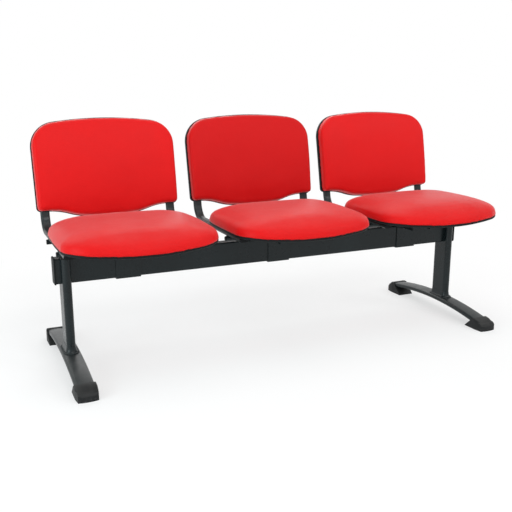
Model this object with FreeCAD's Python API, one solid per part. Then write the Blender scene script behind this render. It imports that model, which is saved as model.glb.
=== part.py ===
import FreeCAD, Part
import math
import os

# Three-seat beam bench: two legs carry a rectangular steel beam, and three
# upholstered seats are clamped on it.
# Frame: millimetres, +X along the beam, +Y towards the backrests, +Z up.
# The origin lies on the floor below the middle of the beam.

# Seats along the beam
SEAT_PITCH = 530.0
SEATS = {"left": -SEAT_PITCH, "middle": 0.0, "right": SEAT_PITCH}

# Beam, a rectangular tube
BEAM_LENGTH = 1510.0
BEAM_HEIGHT = 80.0
BEAM_DEPTH = 40.0
BEAM_WALL = 2.0
BEAM_CORNER = 4.0
BEAM_BOTTOM = 282.0
BEAM_TOP = BEAM_BOTTOM + BEAM_HEIGHT
BEAM_CAP_FLANGE = 5.0
BEAM_CAP_LIP = 2.5

# Legs: an oval upright on an arched oval foot
LEG_X = 725.0
UPRIGHT_DEPTH = 84.0
UPRIGHT_WIDTH = 28.0
UPRIGHT_WALL = 2.0
UPRIGHT_Y = -3.0
UPRIGHT_CAP = 2.5
LEG_SCREW_HEIGHTS = (300.0, 344.0)

# Foot: its tube is bent to one large arc, highest near the upright
FOOT_FRONT_Y = -285.0
FOOT_REAR_Y = 312.0
FOOT_APEX_Y = 35.0
FOOT_WIDTH = 58.0
FOOT_THICKNESS = 20.0
FOOT_WALL = 2.5
FOOT_SIDE_RADIUS = 7.0
FOOT_APEX = 54.0
FOOT_ARCH_RADIUS = 1350.0
FOOT_TUBE_INSET = 30.0

# Glide: the moulded shoe on each end of a foot
GLIDE_LENGTH = 92.0
GLIDE_SLEEVES = {-1: 50.0, 1: 42.0}
GLIDE_WIDTH = 67.0
GLIDE_TIP_WIDTH = 60.0
GLIDE_COVER = 2.4
GLIDE_TIP_HEIGHTS = {-1: 28.0, 1: 33.0}
GLIDE_ROUNDING = 7.0

# Seat plan: four shallow arcs joined by round corners
SEAT_HALF_WIDTH = 240.0
SEAT_FRONT_Y = -312.0
SEAT_REAR_Y = 104.0
SEAT_FRONT_BOW = 600.0
SEAT_SIDE_BOW = 2000.0
SEAT_REAR_BOW = 2500.0
SEAT_FRONT_CORNER = 100.0
SEAT_REAR_CORNER = 82.0
FRONT_ROLL_Y = -250.0
FRONT_ROLL_Z = 267.0

# Seat heights, from the plastic cover up to the crown of the cushion
COVER_FLOOR = 419.0
COVER_WALL = 2.5
COVER_RIM = 427.0
COVER_INSET = 3.0
PAN_DEPTH = 10.0
BOARD_THICKNESS = 10.0
BOARD_INSET = 12.0
CUSHION_WIDEST = 440.0
CROWN_BASE = 430.0
CROWN_RISE = 56.0
CROWN_POWER = 3.2

# Backrest: leans back and is curved around the sitter
BACK_LEAN = 11.0
BACK_Y = 227.7
BACK_Z = 470.0
BACK_CURVE = 2600.0
BACK_HALF_WIDTH = 240.0
BACK_FOOT_HALF_WIDTH = 239.0
BACK_HEIGHT = 300.0
BACK_TOP_BOW = 1200.0
BACK_TOP_CORNER = 86.0
BACK_FOOT_CORNER = 14.0
BACK_FOOT_V = -4.0
LOBE_START = 205.0
LOBE_HOLLOW = 220.0
LOBE_SHOULDER = 220.0
LOBE_STEEP = 19.0
LOBE_SHALLOW = 4.0
BACK_COVER_DEPTH = 15.0
PANEL_THICKNESS = 7.0
PANEL_INSET = 9.0
BACK_THICKNESS = 50.0
BACK_CROWN_BOW = 2200.0
BACK_EDGE_ROUNDING = 12.0

# Seat frame: two bent oval tubes and two round cross tubes
TUBE_WIDTH = 30.0
TUBE_THICKNESS = 15.0
TUBE_WALL = 1.5
TUBE_OFFSET = 213.5
TUBE_FRONT_Y = -215.0
TUBE_CENTRE_Z = 411.5
TUBE_BEND = 55.0
TUBE_TOP_V = 165.0
CROSS_DIAMETER = 16.0
CROSS_WALL = 1.5
CROSS_HALF_LENGTH = 229.0
CROSS_FRONT_Y = -105.0
CROSS_REAR_Y = 80.0
PLUG_FLANGE = 3.0
PLUG_DEPTH = 12.0
PLUG_CLEARANCE = 0.1

# Carrier channel and clamp saddle that hold a seat frame on the beam
CARRIER_WIDTH = 80.0
CARRIER_OVERHANG = 13.0
SHEET = 3.0
SADDLE_EAR = 50.0
CLAMP_BOLT_X = 22.0
CLAMP_BOLT_Y = 38.0

# Fasteners: shank diameter, head width, head height
CLAMP_BOLT = (8.0, 13.0, 5.3)
NUT_HEIGHT = 6.5
LEG_SCREW = (8.0, 14.0, 4.4)
LEG_SCREW_LENGTH = 33.0
WASHER_DIAMETER = 18.0
WASHER_FACE = 2.0
SEAT_SCREW = (6.0, 12.0, 3.5)
SEAT_SCREW_Y = (-190.0, 60.0)
SEAT_SCREW_TOP = 429.5
BACK_SCREW = (5.0, 10.0, 3.0)
BACK_SCREW_V = (45.0, 125.0)
BACK_SCREW_SEAT = 1.0
HOLE_CLEARANCE = 0.5

# Values that follow from the dimensions above
SEAT_MIDDLE_Y = (SEAT_FRONT_Y + SEAT_REAR_Y) / 2
CROSS_Z = TUBE_CENTRE_Z - (TUBE_THICKNESS + CROSS_DIAMETER) / 2
CARRIER_TOP = CROSS_Z - CROSS_DIAMETER / 2
BOARD_BOTTOM = COVER_FLOOR + COVER_WALL
BOARD_TOP = BOARD_BOTTOM + BOARD_THICKNESS
X_AXIS = FreeCAD.Vector(1, 0, 0)
Y_AXIS = FreeCAD.Vector(0, 1, 0)
Z_AXIS = FreeCAD.Vector(0, 0, 1)


def vec(x, y, z=0.0):
    return FreeCAD.Vector(x, y, z)


def box(x0, x1, y0, y1, z0, z1):
    return Part.makeBox(x1 - x0, y1 - y0, z1 - z0, vec(x0, y0, z0))


def rod(diameter, start, end):
    along = end - start
    return Part.makeCylinder(diameter / 2, along.Length, start, along)


def arc(start, middle, end):
    return Part.Arc(start, middle, end).toShape()


def largest_solid(shape):
    return max(shape.Solids, key=lambda solid: solid.Volume)


def hexagon(across_flats, centre, length):
    """A hexagonal prism that stands up from its centre."""
    reach = across_flats / 2 / math.cos(math.radians(30))
    corners = [centre + vec(reach * math.cos(math.radians(60 * k)),
                            reach * math.sin(math.radians(60 * k))) for k in range(7)]
    return Part.Face(Part.makePolygon(corners)).extrude(vec(0, 0, length))


def rounded_bar(depth, height, corner, x0, x1):
    """A bar along X with rounded long edges, centred on the beam."""
    middle = BEAM_BOTTOM + BEAM_HEIGHT / 2
    bar = box(x0, x1, -depth / 2, depth / 2, middle - height / 2, middle + height / 2)
    long_edges = [e for e in bar.Edges if abs(e.tangentAt(e.FirstParameter).x) > 0.9]
    return bar.makeFillet(corner, long_edges)


def stadium_face(length, width):
    """A flat oval in the XY plane, long in Y, with half-round ends."""
    r = width / 2
    run = length / 2 - r
    return Part.Face(Part.Wire([
        Part.makeLine(vec(r, -run), vec(r, run)),
        arc(vec(r, run), vec(0, run + r), vec(-r, run)),
        Part.makeLine(vec(-r, run), vec(-r, -run)),
        arc(vec(-r, -run), vec(0, -run - r), vec(r, -run)),
    ]))


def upright_solid(grow, z0, z1):
    """The upright's oval, grown all round by a distance, at the origin."""
    face = stadium_face(UPRIGHT_DEPTH + 2 * grow, UPRIGHT_WIDTH + 2 * grow)
    face.translate(vec(0, UPRIGHT_Y, z0))
    return face.extrude(vec(0, 0, z1 - z0))


# Beam

def beam():
    half = BEAM_LENGTH / 2
    outer = rounded_bar(BEAM_DEPTH, BEAM_HEIGHT, BEAM_CORNER, -half, half)
    inner = rounded_bar(BEAM_DEPTH - 2 * BEAM_WALL, BEAM_HEIGHT - 2 * BEAM_WALL,
                        BEAM_CORNER - BEAM_WALL, -half, half)
    tube = outer.cut(inner)
    for x in (-LEG_X, LEG_X):
        for z in LEG_SCREW_HEIGHTS:
            hole = rod(LEG_SCREW[0] + HOLE_CLEARANCE, vec(x, 10, z), vec(x, 30, z))
            tube = tube.cut(hole)
    return tube


def beam_cap(side):
    """Moulded end cap: a lipped flange outside and a hollow plug inside."""
    end = side * BEAM_LENGTH / 2
    outside = end + side * BEAM_CAP_FLANGE
    inside = end - side * 22.0
    flange = rounded_bar(BEAM_DEPTH + 2 * BEAM_CAP_LIP, BEAM_HEIGHT + 2 * BEAM_CAP_LIP,
                         BEAM_CORNER + BEAM_CAP_LIP, min(end, outside), max(end, outside))
    rim = [e for e in flange.Edges if abs(e.CenterOfMass.x - outside) < 0.01]
    flange = flange.makeFillet(3.0, rim)
    plug_depth = BEAM_DEPTH - 2 * BEAM_WALL
    plug_height = BEAM_HEIGHT - 2 * BEAM_WALL
    plug = rounded_bar(plug_depth, plug_height, BEAM_CORNER - BEAM_WALL,
                       min(inside, end), max(inside, end))
    hollow = rounded_bar(plug_depth - 5, plug_height - 5, 1.0,
                         min(inside, end), max(inside, end))
    return flange.fuse(plug.cut(hollow)).removeSplitter()


# Legs

def foot_section(grow):
    """The foot's oval of four arcs in the XZ plane, at the arch's apex."""
    half_w = FOOT_WIDTH / 2 + grow
    half_h = FOOT_THICKNESS / 2 + grow
    small = FOOT_SIDE_RADIUS + grow
    gap = half_w - small
    large = (gap ** 2 + half_h ** 2 - small ** 2) / (2 * (half_h - small))
    lean = math.asin(gap / (large - small))
    joint_x = large * math.sin(lean)
    joint_z = large * math.cos(lean) - (large - half_h)

    def point(x, z):
        return vec(x, FOOT_APEX_Y, FOOT_APEX + z)

    return Part.Face(Part.Wire([
        arc(point(-joint_x, joint_z), point(0, half_h), point(joint_x, joint_z)),
        arc(point(joint_x, joint_z), point(half_w, 0), point(joint_x, -joint_z)),
        arc(point(joint_x, -joint_z), point(0, -half_h), point(-joint_x, -joint_z)),
        arc(point(-joint_x, -joint_z), point(-half_w, 0), point(-joint_x, joint_z)),
    ]))


def foot_sweep(grow, front_y, rear_y):
    """The foot's oval turned along the arch, at the origin's X."""
    front, rear = [math.degrees(math.asin((y - FOOT_APEX_Y) / FOOT_ARCH_RADIUS))
                   for y in (front_y, rear_y)]
    centre = vec(0, FOOT_APEX_Y, FOOT_APEX - FOOT_ARCH_RADIUS)
    section = foot_section(grow)
    section.rotate(centre, X_AXIS, -rear)
    return section.revolve(centre, X_AXIS, rear - front)


def foot_top(y):
    """Height of the foot's upper surface along its middle."""
    run = y - FOOT_APEX_Y
    drop = FOOT_ARCH_RADIUS - math.sqrt(FOOT_ARCH_RADIUS ** 2 - run ** 2)
    return FOOT_APEX - drop + FOOT_THICKNESS / 2


def foot_solid(grow=0.0, longer=0.0):
    inset = FOOT_TUBE_INSET - longer
    return foot_sweep(grow, FOOT_FRONT_Y + inset, FOOT_REAR_Y - inset)


def foot():
    return foot_solid().cut(foot_solid(-FOOT_WALL, 5.0))


def upright():
    """Oval tube with a coped lower end and a slot that holds the beam."""
    tube = upright_solid(0, 30, BEAM_TOP).cut(upright_solid(-UPRIGHT_WALL, 20, BEAM_TOP + 10))
    above_foot = tube.cut(foot_solid())
    tube = largest_solid(above_foot)
    half_beam = BEAM_DEPTH / 2
    tube = tube.cut(box(-60, 60, -half_beam, half_beam, BEAM_BOTTOM, BEAM_TOP + 10))
    for z in LEG_SCREW_HEIGHTS:
        tube = tube.cut(rod(LEG_SCREW[0] + HOLE_CLEARANCE, vec(0, half_beam, z), vec(0, 60, z)))
    return tube


def upright_cap():
    """Flat oval lid with a plug for the opening on each side of the beam."""
    lid = upright_solid(0, BEAM_TOP, BEAM_TOP + UPRIGHT_CAP)
    rim = [e for e in lid.Edges if e.BoundBox.ZMin > BEAM_TOP + UPRIGHT_CAP - 0.01]
    lid = lid.makeFillet(1.5, rim)
    plug = upright_solid(-UPRIGHT_WALL - PLUG_CLEARANCE, BEAM_TOP - PLUG_DEPTH, BEAM_TOP)
    clear = BEAM_DEPTH / 2 + 0.3
    return lid.fuse(plug.cut(box(-60, 60, -clear, clear, 300, BEAM_TOP))).removeSplitter()


def foot_weld():
    """Weld bead around the upright where it stands on the foot."""
    low = FOOT_APEX + FOOT_THICKNESS / 2 - 7
    sections = []
    for grow, rise in ((11.0, 0.0), (6.5, 6.5), (3.6, 11.0), (1.7, 17.0), (0.5, 25.0)):
        face = stadium_face(UPRIGHT_DEPTH + 2 * grow, UPRIGHT_WIDTH + 2 * grow)
        face.translate(vec(0, UPRIGHT_Y, low + rise))
        sections.append(face.OuterWire)
    bead = Part.makeLoft(sections, True, True)
    bead = bead.cut(foot_solid())
    bead = bead.cut(upright_solid(0, low - 10, low + 35))
    return largest_solid(bead)


def foot_glide(end):
    """Shoe on the front (-1) or rear (+1) end of a foot, flat underneath."""
    half = GLIDE_WIDTH / 2
    tip_half = GLIDE_TIP_WIDTH / 2
    tip_y = FOOT_FRONT_Y if end < 0 else FOOT_REAR_Y

    def plan(x, back):
        return vec(x, tip_y - end * back)

    flank = [plan(half - 1, GLIDE_LENGTH), plan(half, 34), plan(tip_half, 4)]
    corners = flank + [vec(-point.x, point.y) for point in reversed(flank)]
    front_line = arc(corners[2], plan(0, 0), corners[3])
    outline = Part.Wire([Part.makeLine(corners[0], corners[1]),
                         Part.makeLine(corners[1], corners[2]), front_line,
                         Part.makeLine(corners[3], corners[4]),
                         Part.makeLine(corners[4], corners[5]),
                         Part.makeLine(corners[5], corners[0])])
    block = Part.Face(outline).extrude(vec(0, 0, 70))

    sleeve = GLIDE_SLEEVES[end]
    sleeve_top = foot_top(tip_y - end * sleeve) + GLIDE_COVER
    crown = foot_top(tip_y - end * 28.0) + GLIDE_COVER

    def side(back, z):
        return vec(-60, tip_y - end * back, z)

    nose = side(14, GLIDE_TIP_HEIGHTS[end])
    profile = Part.Wire([
        Part.makeLine(side(-1, 0), side(1, 16)),
        arc(side(1, 16), side(5.5, nose.z - 5), nose),
        arc(nose, side(28, crown), side(sleeve, sleeve_top)),
        Part.makeLine(side(sleeve, sleeve_top), side(GLIDE_LENGTH, 0)),
        Part.makeLine(side(GLIDE_LENGTH, 0), side(-1, 0)),
    ])
    shoe = block.common(Part.Face(profile).extrude(vec(120, 0, 0)))
    crest = [e for e in shoe.Edges if e.BoundBox.ZMin > 22 and e.BoundBox.YLength > 3]
    shoe = shoe.makeFillet(GLIDE_ROUNDING, crest)
    return shoe.cut(foot_solid())


def leg_screw_places():
    return [vec(x, 0, z) for x in (-LEG_X, LEG_X) for z in LEG_SCREW_HEIGHTS]


def leg_screws():
    """Button-head screws through the rear of the uprights into the beam."""
    shank, head, height = LEG_SCREW
    face_y = UPRIGHT_Y + UPRIGHT_DEPTH / 2 + WASHER_FACE
    parts = []
    for place in leg_screw_places():
        start = place + vec(0, face_y, 0)
        body = rod(shank, start - vec(0, LEG_SCREW_LENGTH, 0), start)
        button = rod(head, start, start + vec(0, height, 0))
        rim = [e for e in button.Edges if e.BoundBox.YMin > face_y + height - 0.01]
        button = button.makeFillet(height * 0.6, rim)
        socket = hexagon(5.0, vec(0, 0, 0), height)
        socket.rotate(vec(0, 0, 0), X_AXIS, -90)
        socket.translate(start + vec(0, 1.5, 0))
        parts.append(body.fuse(button).cut(socket))
    return Part.makeCompound(parts)


def leg_screw_washers():
    """Saddle washers: flat outside, hollowed to the upright's round rear."""
    face_y = UPRIGHT_Y + UPRIGHT_DEPTH / 2 + WASHER_FACE
    parts = []
    for place in leg_screw_places():
        start = place + vec(0, face_y - 5.5, 0)
        disc = rod(WASHER_DIAMETER, start, place + vec(0, face_y, 0))
        disc = disc.cut(rod(LEG_SCREW[0], start, start + vec(0, 10, 0)))
        tube = upright_solid(0, 0, BEAM_TOP)
        tube.translate(vec(place.x, 0, 0))
        parts.append(disc.cut(tube))
    return Part.makeCompound(parts)


def leg_nuts():
    """Hexagon nuts welded inside the beam behind its rear wall."""
    inner_y = BEAM_DEPTH / 2 - BEAM_WALL
    parts = []
    for place in leg_screw_places():
        nut = hexagon(CLAMP_BOLT[1], vec(0, 0, 0), NUT_HEIGHT)
        nut = nut.cut(rod(LEG_SCREW[0], vec(0, 0, -1), vec(0, 0, NUT_HEIGHT + 1)))
        nut.rotate(vec(0, 0, 0), X_AXIS, -90)
        nut.translate(place + vec(0, inner_y - NUT_HEIGHT, 0))
        parts.append(nut)
    return Part.makeCompound(parts)


# Seat frame

def tube_section(grow):
    """The side tube's oval in the XZ plane, wide in X."""
    face = stadium_face(TUBE_WIDTH + 2 * grow, TUBE_THICKNESS + 2 * grow)
    face.rotate(vec(0, 0, 0), Z_AXIS, 90)
    face.rotate(vec(0, 0, 0), X_AXIS, 90)
    return face


def back_up():
    lean = math.radians(BACK_LEAN)
    return vec(0, math.sin(lean), math.cos(lean))


def back_forward():
    lean = math.radians(BACK_LEAN)
    return vec(0, -math.cos(lean), math.sin(lean))


def back_sag(u):
    """How far the curved back has come forward at a distance u from its middle."""
    return BACK_CURVE - math.sqrt(BACK_CURVE ** 2 - u ** 2)


def tube_rear():
    """Depth of the side tube's rear face, just inside the back cover."""
    return back_sag(TUBE_OFFSET + TUBE_WIDTH / 2) + COVER_WALL + 0.15


def panel_rear():
    """Depth of the back panel, just in front of the side tubes."""
    tube_front = tube_rear() + TUBE_THICKNESS
    return tube_front - back_sag(TUBE_OFFSET - TUBE_WIDTH / 2) + 0.15


def side_tube_solid(side, grow):
    """Filled shape of the bent tube: level run, bend, then up into the back."""
    x = side * TUBE_OFFSET
    depth = tube_rear() + TUBE_THICKNESS / 2
    origin = vec(x, BACK_Y, BACK_Z) + back_forward() * depth
    below = (TUBE_CENTRE_Z - origin.z) / back_up().z
    corner = origin + back_up() * below
    turn = 90 - BACK_LEAN
    tangent = TUBE_BEND * math.tan(math.radians(turn / 2))
    bend_y = corner.y - tangent
    section = tube_section(grow)
    section.translate(vec(x, TUBE_FRONT_Y, TUBE_CENTRE_Z))
    level = section.extrude(vec(0, bend_y - TUBE_FRONT_Y, 0))
    section.translate(vec(0, bend_y - TUBE_FRONT_Y, 0))
    centre = vec(x, bend_y, TUBE_CENTRE_Z + TUBE_BEND)
    bend = section.revolve(centre, X_AXIS, turn)
    section.rotate(centre, X_AXIS, turn)
    rise = section.extrude(back_up() * (TUBE_TOP_V - below - tangent))
    return level.fuse([bend, rise]).removeSplitter()


def side_tube(side):
    tube = side_tube_solid(side, 0).cut(side_tube_solid(side, -TUBE_WALL))
    tube = cut_seat_holes(tube, SEAT_SCREW[0] + HOLE_CLEARANCE, 425)
    return cut_back_holes(tube, BACK_SCREW[0] + HOLE_CLEARANCE)


def cross_tube(y):
    start = vec(-CROSS_HALF_LENGTH, y, CROSS_Z)
    end = vec(CROSS_HALF_LENGTH, y, CROSS_Z)
    return rod(CROSS_DIAMETER, start, end).cut(rod(CROSS_DIAMETER - 2 * CROSS_WALL, start, end))


def cross_tube_plugs():
    """Round plugs that close both ends of one seat's cross tubes."""
    parts = []
    for y in (CROSS_FRONT_Y, CROSS_REAR_Y):
        for side in (-1, 1):
            end = vec(side * CROSS_HALF_LENGTH, y, CROSS_Z)
            outside = end + vec(side * PLUG_FLANGE, 0, 0)
            flange = rod(CROSS_DIAMETER, end, outside)
            rim = [e for e in flange.Edges if abs(e.CenterOfMass.x - outside.x) < 0.01]
            flange = flange.makeFillet(1.5, rim)
            bore = CROSS_DIAMETER - 2 * CROSS_WALL - 2 * PLUG_CLEARANCE
            pin = rod(bore, end - vec(side * PLUG_DEPTH, 0, 0), end)
            parts.append(flange.fuse(pin))
    return parts


def side_tube_plugs():
    """Oval plugs that close the front ends of one seat's side tubes."""
    parts = []
    for side in (-1, 1):
        end = vec(side * TUBE_OFFSET, TUBE_FRONT_Y, TUBE_CENTRE_Z)
        flange = tube_section(0)
        flange.translate(end)
        pin = tube_section(-TUBE_WALL - PLUG_CLEARANCE)
        pin.translate(end)
        lid = flange.extrude(vec(0, -PLUG_FLANGE, 0))
        rim = [e for e in lid.Edges if e.BoundBox.YMax < TUBE_FRONT_Y - PLUG_FLANGE + 0.01]
        lid = lid.makeFillet(1.5, rim)
        parts.append(lid.fuse(pin.extrude(vec(0, PLUG_DEPTH, 0))))
    return parts


def clamp_places():
    return [vec(sx * CLAMP_BOLT_X, sy * CLAMP_BOLT_Y, 0) for sx in (-1, 1) for sy in (-1, 1)]


def clamp_holes(shape):
    for place in clamp_places():
        hole = rod(CLAMP_BOLT[0] + 1, place + vec(0, 0, 340), place + vec(0, 0, 400))
        shape = shape.cut(hole)
    return shape


def carrier():
    """Channel that opens downwards: it stands on the beam under the cross tubes."""
    half = CARRIER_WIDTH / 2
    y0 = CROSS_FRONT_Y - CARRIER_OVERHANG
    y1 = CROSS_REAR_Y + CARRIER_OVERHANG
    outer = box(-half, half, y0, y1, BEAM_TOP, CARRIER_TOP)
    folds = [e for e in outer.Edges
             if e.BoundBox.ZMin > CARRIER_TOP - 0.01 and e.BoundBox.YLength > 100]
    outer = outer.makeFillet(SHEET, folds)
    inner = box(-half + SHEET, half - SHEET, y0, y1, BEAM_TOP, CARRIER_TOP - SHEET)
    return clamp_holes(outer.cut(inner))


def clamp_saddle():
    """Sheet bent around the front, bottom and rear of the beam, with two ears."""
    half = CARRIER_WIDTH / 2
    inner_y = BEAM_DEPTH / 2
    outer_y = inner_y + SHEET
    trough = box(-half, half, -outer_y, outer_y, BEAM_BOTTOM - SHEET, BEAM_TOP)
    folds = [e for e in trough.Edges
             if e.BoundBox.ZMax < BEAM_BOTTOM and e.BoundBox.XLength > 50]
    trough = trough.makeFillet(SHEET, folds)
    ears = box(-half, half, -SADDLE_EAR, SADDLE_EAR, BEAM_TOP - SHEET, BEAM_TOP)
    saddle = trough.fuse(ears)
    saddle = saddle.cut(box(-half, half, -inner_y, inner_y, BEAM_BOTTOM, BEAM_TOP))
    return clamp_holes(saddle.removeSplitter())


def clamp_bolts():
    shank, flats, height = CLAMP_BOLT
    base = BEAM_TOP - SHEET
    parts = []
    for place in clamp_places():
        head = hexagon(flats, place + vec(0, 0, base - height), height)
        body = rod(shank, place + vec(0, 0, base), place + vec(0, 0, CARRIER_TOP + 9))
        parts.append(head.fuse(body))
    return parts


def clamp_nuts():
    parts = []
    for place in clamp_places():
        base = place + vec(0, 0, CARRIER_TOP)
        nut = hexagon(CLAMP_BOLT[1], base, NUT_HEIGHT)
        parts.append(nut.cut(rod(CLAMP_BOLT[0], base, base + vec(0, 0, 10))))
    return parts


# Seat

def circles_meet(centre_a, radius_a, centre_b, radius_b, near):
    """The crossing of two circles that lies nearest to a point."""
    between = centre_b - centre_a
    apart = between.Length
    along = (radius_a ** 2 - radius_b ** 2 + apart ** 2) / (2 * apart)
    aside = math.sqrt(radius_a ** 2 - along ** 2)
    foot_point = centre_a + between * (along / apart)
    normal = vec(-between.y, between.x) * (aside / apart)
    return min((foot_point + normal, foot_point - normal), key=lambda p: (p - near).Length)


def seat_corner(bow_centre, bow, corner_y, radius):
    """Round corner on the +X side: its two ends and the middle between them."""
    side_centre = vec(SEAT_HALF_WIDTH - SEAT_SIDE_BOW, SEAT_MIDDLE_Y)
    centre = circles_meet(bow_centre, bow - radius, side_centre, SEAT_SIDE_BOW - radius,
                          vec(SEAT_HALF_WIDTH, corner_y))
    on_bow = bow_centre + (centre - bow_centre) * (bow / (bow - radius))
    on_side = side_centre + (centre - side_centre) * (SEAT_SIDE_BOW / (SEAT_SIDE_BOW - radius))
    outward = (on_bow - centre) + (on_side - centre)
    return on_bow, centre + outward * (radius / outward.Length), on_side


def seat_outline(scale, z, inset=0.0):
    """The seat's plan at a height, shrunk towards its middle."""
    front_centre = vec(0, SEAT_FRONT_Y + SEAT_FRONT_BOW)
    rear_centre = vec(0, SEAT_REAR_Y - SEAT_REAR_BOW)
    front = seat_corner(front_centre, SEAT_FRONT_BOW, SEAT_FRONT_Y, SEAT_FRONT_CORNER)
    rear = seat_corner(rear_centre, SEAT_REAR_BOW, SEAT_REAR_Y, SEAT_REAR_CORNER)

    def mirrored(point):
        return vec(-point.x, point.y)

    flank = vec(SEAT_HALF_WIDTH, SEAT_MIDDLE_Y)
    wire = Part.Wire([
        arc(mirrored(front[0]), vec(0, SEAT_FRONT_Y), front[0]),
        arc(*front),
        arc(front[2], flank, rear[2]),
        arc(rear[2], rear[1], rear[0]),
        arc(rear[0], vec(0, SEAT_REAR_Y), mirrored(rear[0])),
        arc(mirrored(rear[0]), mirrored(rear[1]), mirrored(rear[2])),
        arc(mirrored(rear[2]), mirrored(flank), mirrored(front[2])),
        arc(mirrored(front[2]), mirrored(front[1]), mirrored(front[0])),
    ])
    if inset:
        wire = wire.makeOffset2D(-inset)
    wire.scale(scale, vec(0, SEAT_MIDDLE_Y))
    wire.translate(vec(0, 0, z))
    return wire


def seat_layer(inset, z0, z1):
    """A layer of the seat between two heights, its front rolled down."""
    def bent(z):
        radius = z - FRONT_ROLL_Z
        turn = math.radians(36)
        return [vec(0, FRONT_ROLL_Y - radius * math.sin(a),
                    FRONT_ROLL_Z + radius * math.cos(a)) for a in (0, turn / 2, turn)]

    low, high = bent(z0), bent(z1)
    rear_low, rear_high = vec(0, 200, z0), vec(0, 200, z1)
    band = Part.Face(Part.Wire([Part.makeLine(rear_low, low[0]), arc(*low),
                                Part.makeLine(low[2], high[2]), arc(*reversed(high)),
                                Part.makeLine(high[0], rear_high),
                                Part.makeLine(rear_high, rear_low)]))
    band.translate(vec(-300, 0, 0))
    prism = Part.Face(seat_outline(1.0, z0 - 60, inset)).extrude(vec(0, 0, z1 - z0 + 60))
    return prism.common(band.extrude(vec(600, 0, 0)))


def seat_cushion():
    """Padded seat: sides drawn in below, a rounded edge and a crowned top."""
    sections = [seat_outline(0.982, COVER_RIM - 20), seat_outline(0.982, COVER_RIM),
                seat_outline(0.995, COVER_RIM + 5.5),
                seat_outline(1.0, CUSHION_WIDEST)]
    for step in range(10, 90, 6):
        around = math.radians(step)
        scale = math.cos(around) ** (2 / CROWN_POWER)
        rise = CROWN_RISE * math.sin(around) ** (2 / CROWN_POWER)
        sections.append(seat_outline(scale, CROWN_BASE + rise))
    cushion = Part.makeLoft(sections, True, True)
    cushion = cushion.cut(seat_layer(-5.0, COVER_RIM - 60, COVER_RIM))
    return cushion.cut(seat_layer(BOARD_INSET, COVER_RIM - 5, BOARD_TOP))


def seat_screw_places():
    return [vec(side * TUBE_OFFSET, y, 0) for side in (-1, 1) for y in SEAT_SCREW_Y]


def cut_seat_holes(shape, diameter, top):
    """Holes from below the side tubes up to a height, at the seat screws."""
    for place in seat_screw_places():
        shape = shape.cut(rod(diameter, place + vec(0, 0, 395), place + vec(0, 0, top)))
    return shape


def seat_board():
    """Plywood board inside the seat, with blind holes for the screws."""
    board = seat_layer(BOARD_INSET, BOARD_BOTTOM, BOARD_TOP)
    return cut_seat_holes(board, SEAT_SCREW[0], SEAT_SCREW_TOP)


def pan_section(inset, z):
    """Rounded rectangle of the dished pan between the side tubes."""
    half = TUBE_OFFSET - TUBE_WIDTH / 2 - 4 - inset
    y0 = FRONT_ROLL_Y - 12 + inset
    y1 = SEAT_REAR_Y - 18 - inset
    r = 60 - inset
    k = r * (1 - math.sqrt(0.5))
    return Part.Wire([
        Part.makeLine(vec(-half + r, y0, z), vec(half - r, y0, z)),
        arc(vec(half - r, y0, z), vec(half - k, y0 + k, z), vec(half, y0 + r, z)),
        Part.makeLine(vec(half, y0 + r, z), vec(half, y1 - r, z)),
        arc(vec(half, y1 - r, z), vec(half - k, y1 - k, z), vec(half - r, y1, z)),
        Part.makeLine(vec(half - r, y1, z), vec(-half + r, y1, z)),
        arc(vec(-half + r, y1, z), vec(-half + k, y1 - k, z), vec(-half, y1 - r, z)),
        Part.makeLine(vec(-half, y1 - r, z), vec(-half, y0 + r, z)),
        arc(vec(-half, y0 + r, z), vec(-half + k, y0 + k, z), vec(-half + r, y0, z)),
    ])


def seat_cover():
    """Moulded cover under the seat: a shallow tray with a dished pan."""
    tray = seat_layer(COVER_INSET, COVER_FLOOR, COVER_RIM)
    foot_edges = [e for e in tray.Edges if e.BoundBox.ZMax < COVER_FLOOR + 0.01]
    tray = tray.makeFillet(4.0, foot_edges)
    tray = tray.cut(seat_layer(COVER_INSET + COVER_WALL, BOARD_BOTTOM, COVER_RIM + 5))
    pan_floor = COVER_FLOOR - PAN_DEPTH
    slope = 12.0
    pan = Part.makeLoft([pan_section(slope, pan_floor), pan_section(0, COVER_FLOOR + 1)],
                        True, True)
    hollow = Part.makeLoft([pan_section(slope + COVER_WALL, pan_floor + COVER_WALL),
                            pan_section(COVER_WALL, BOARD_BOTTOM)], True, True)
    cover = tray.fuse(pan).cut(hollow)
    return cut_seat_holes(cover, SEAT_SCREW[0] + HOLE_CLEARANCE, BOARD_BOTTOM)


def seat_screws():
    """Screws from below through the side tubes into the seat board."""
    shank, head, height = SEAT_SCREW
    under = TUBE_CENTRE_Z - TUBE_THICKNESS / 2
    parts = []
    for place in seat_screw_places():
        cheese = rod(head, place + vec(0, 0, under - height), place + vec(0, 0, under))
        rim = [e for e in cheese.Edges if e.BoundBox.ZMax < under - height + 0.01]
        cheese = cheese.makeFillet(1.5, rim)
        body = rod(shank, place + vec(0, 0, under), place + vec(0, 0, SEAT_SCREW_TOP))
        parts.append(cheese.fuse(body))
    return parts


# Backrest, built flat: X across, Y up the back, Z towards the sitter

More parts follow.
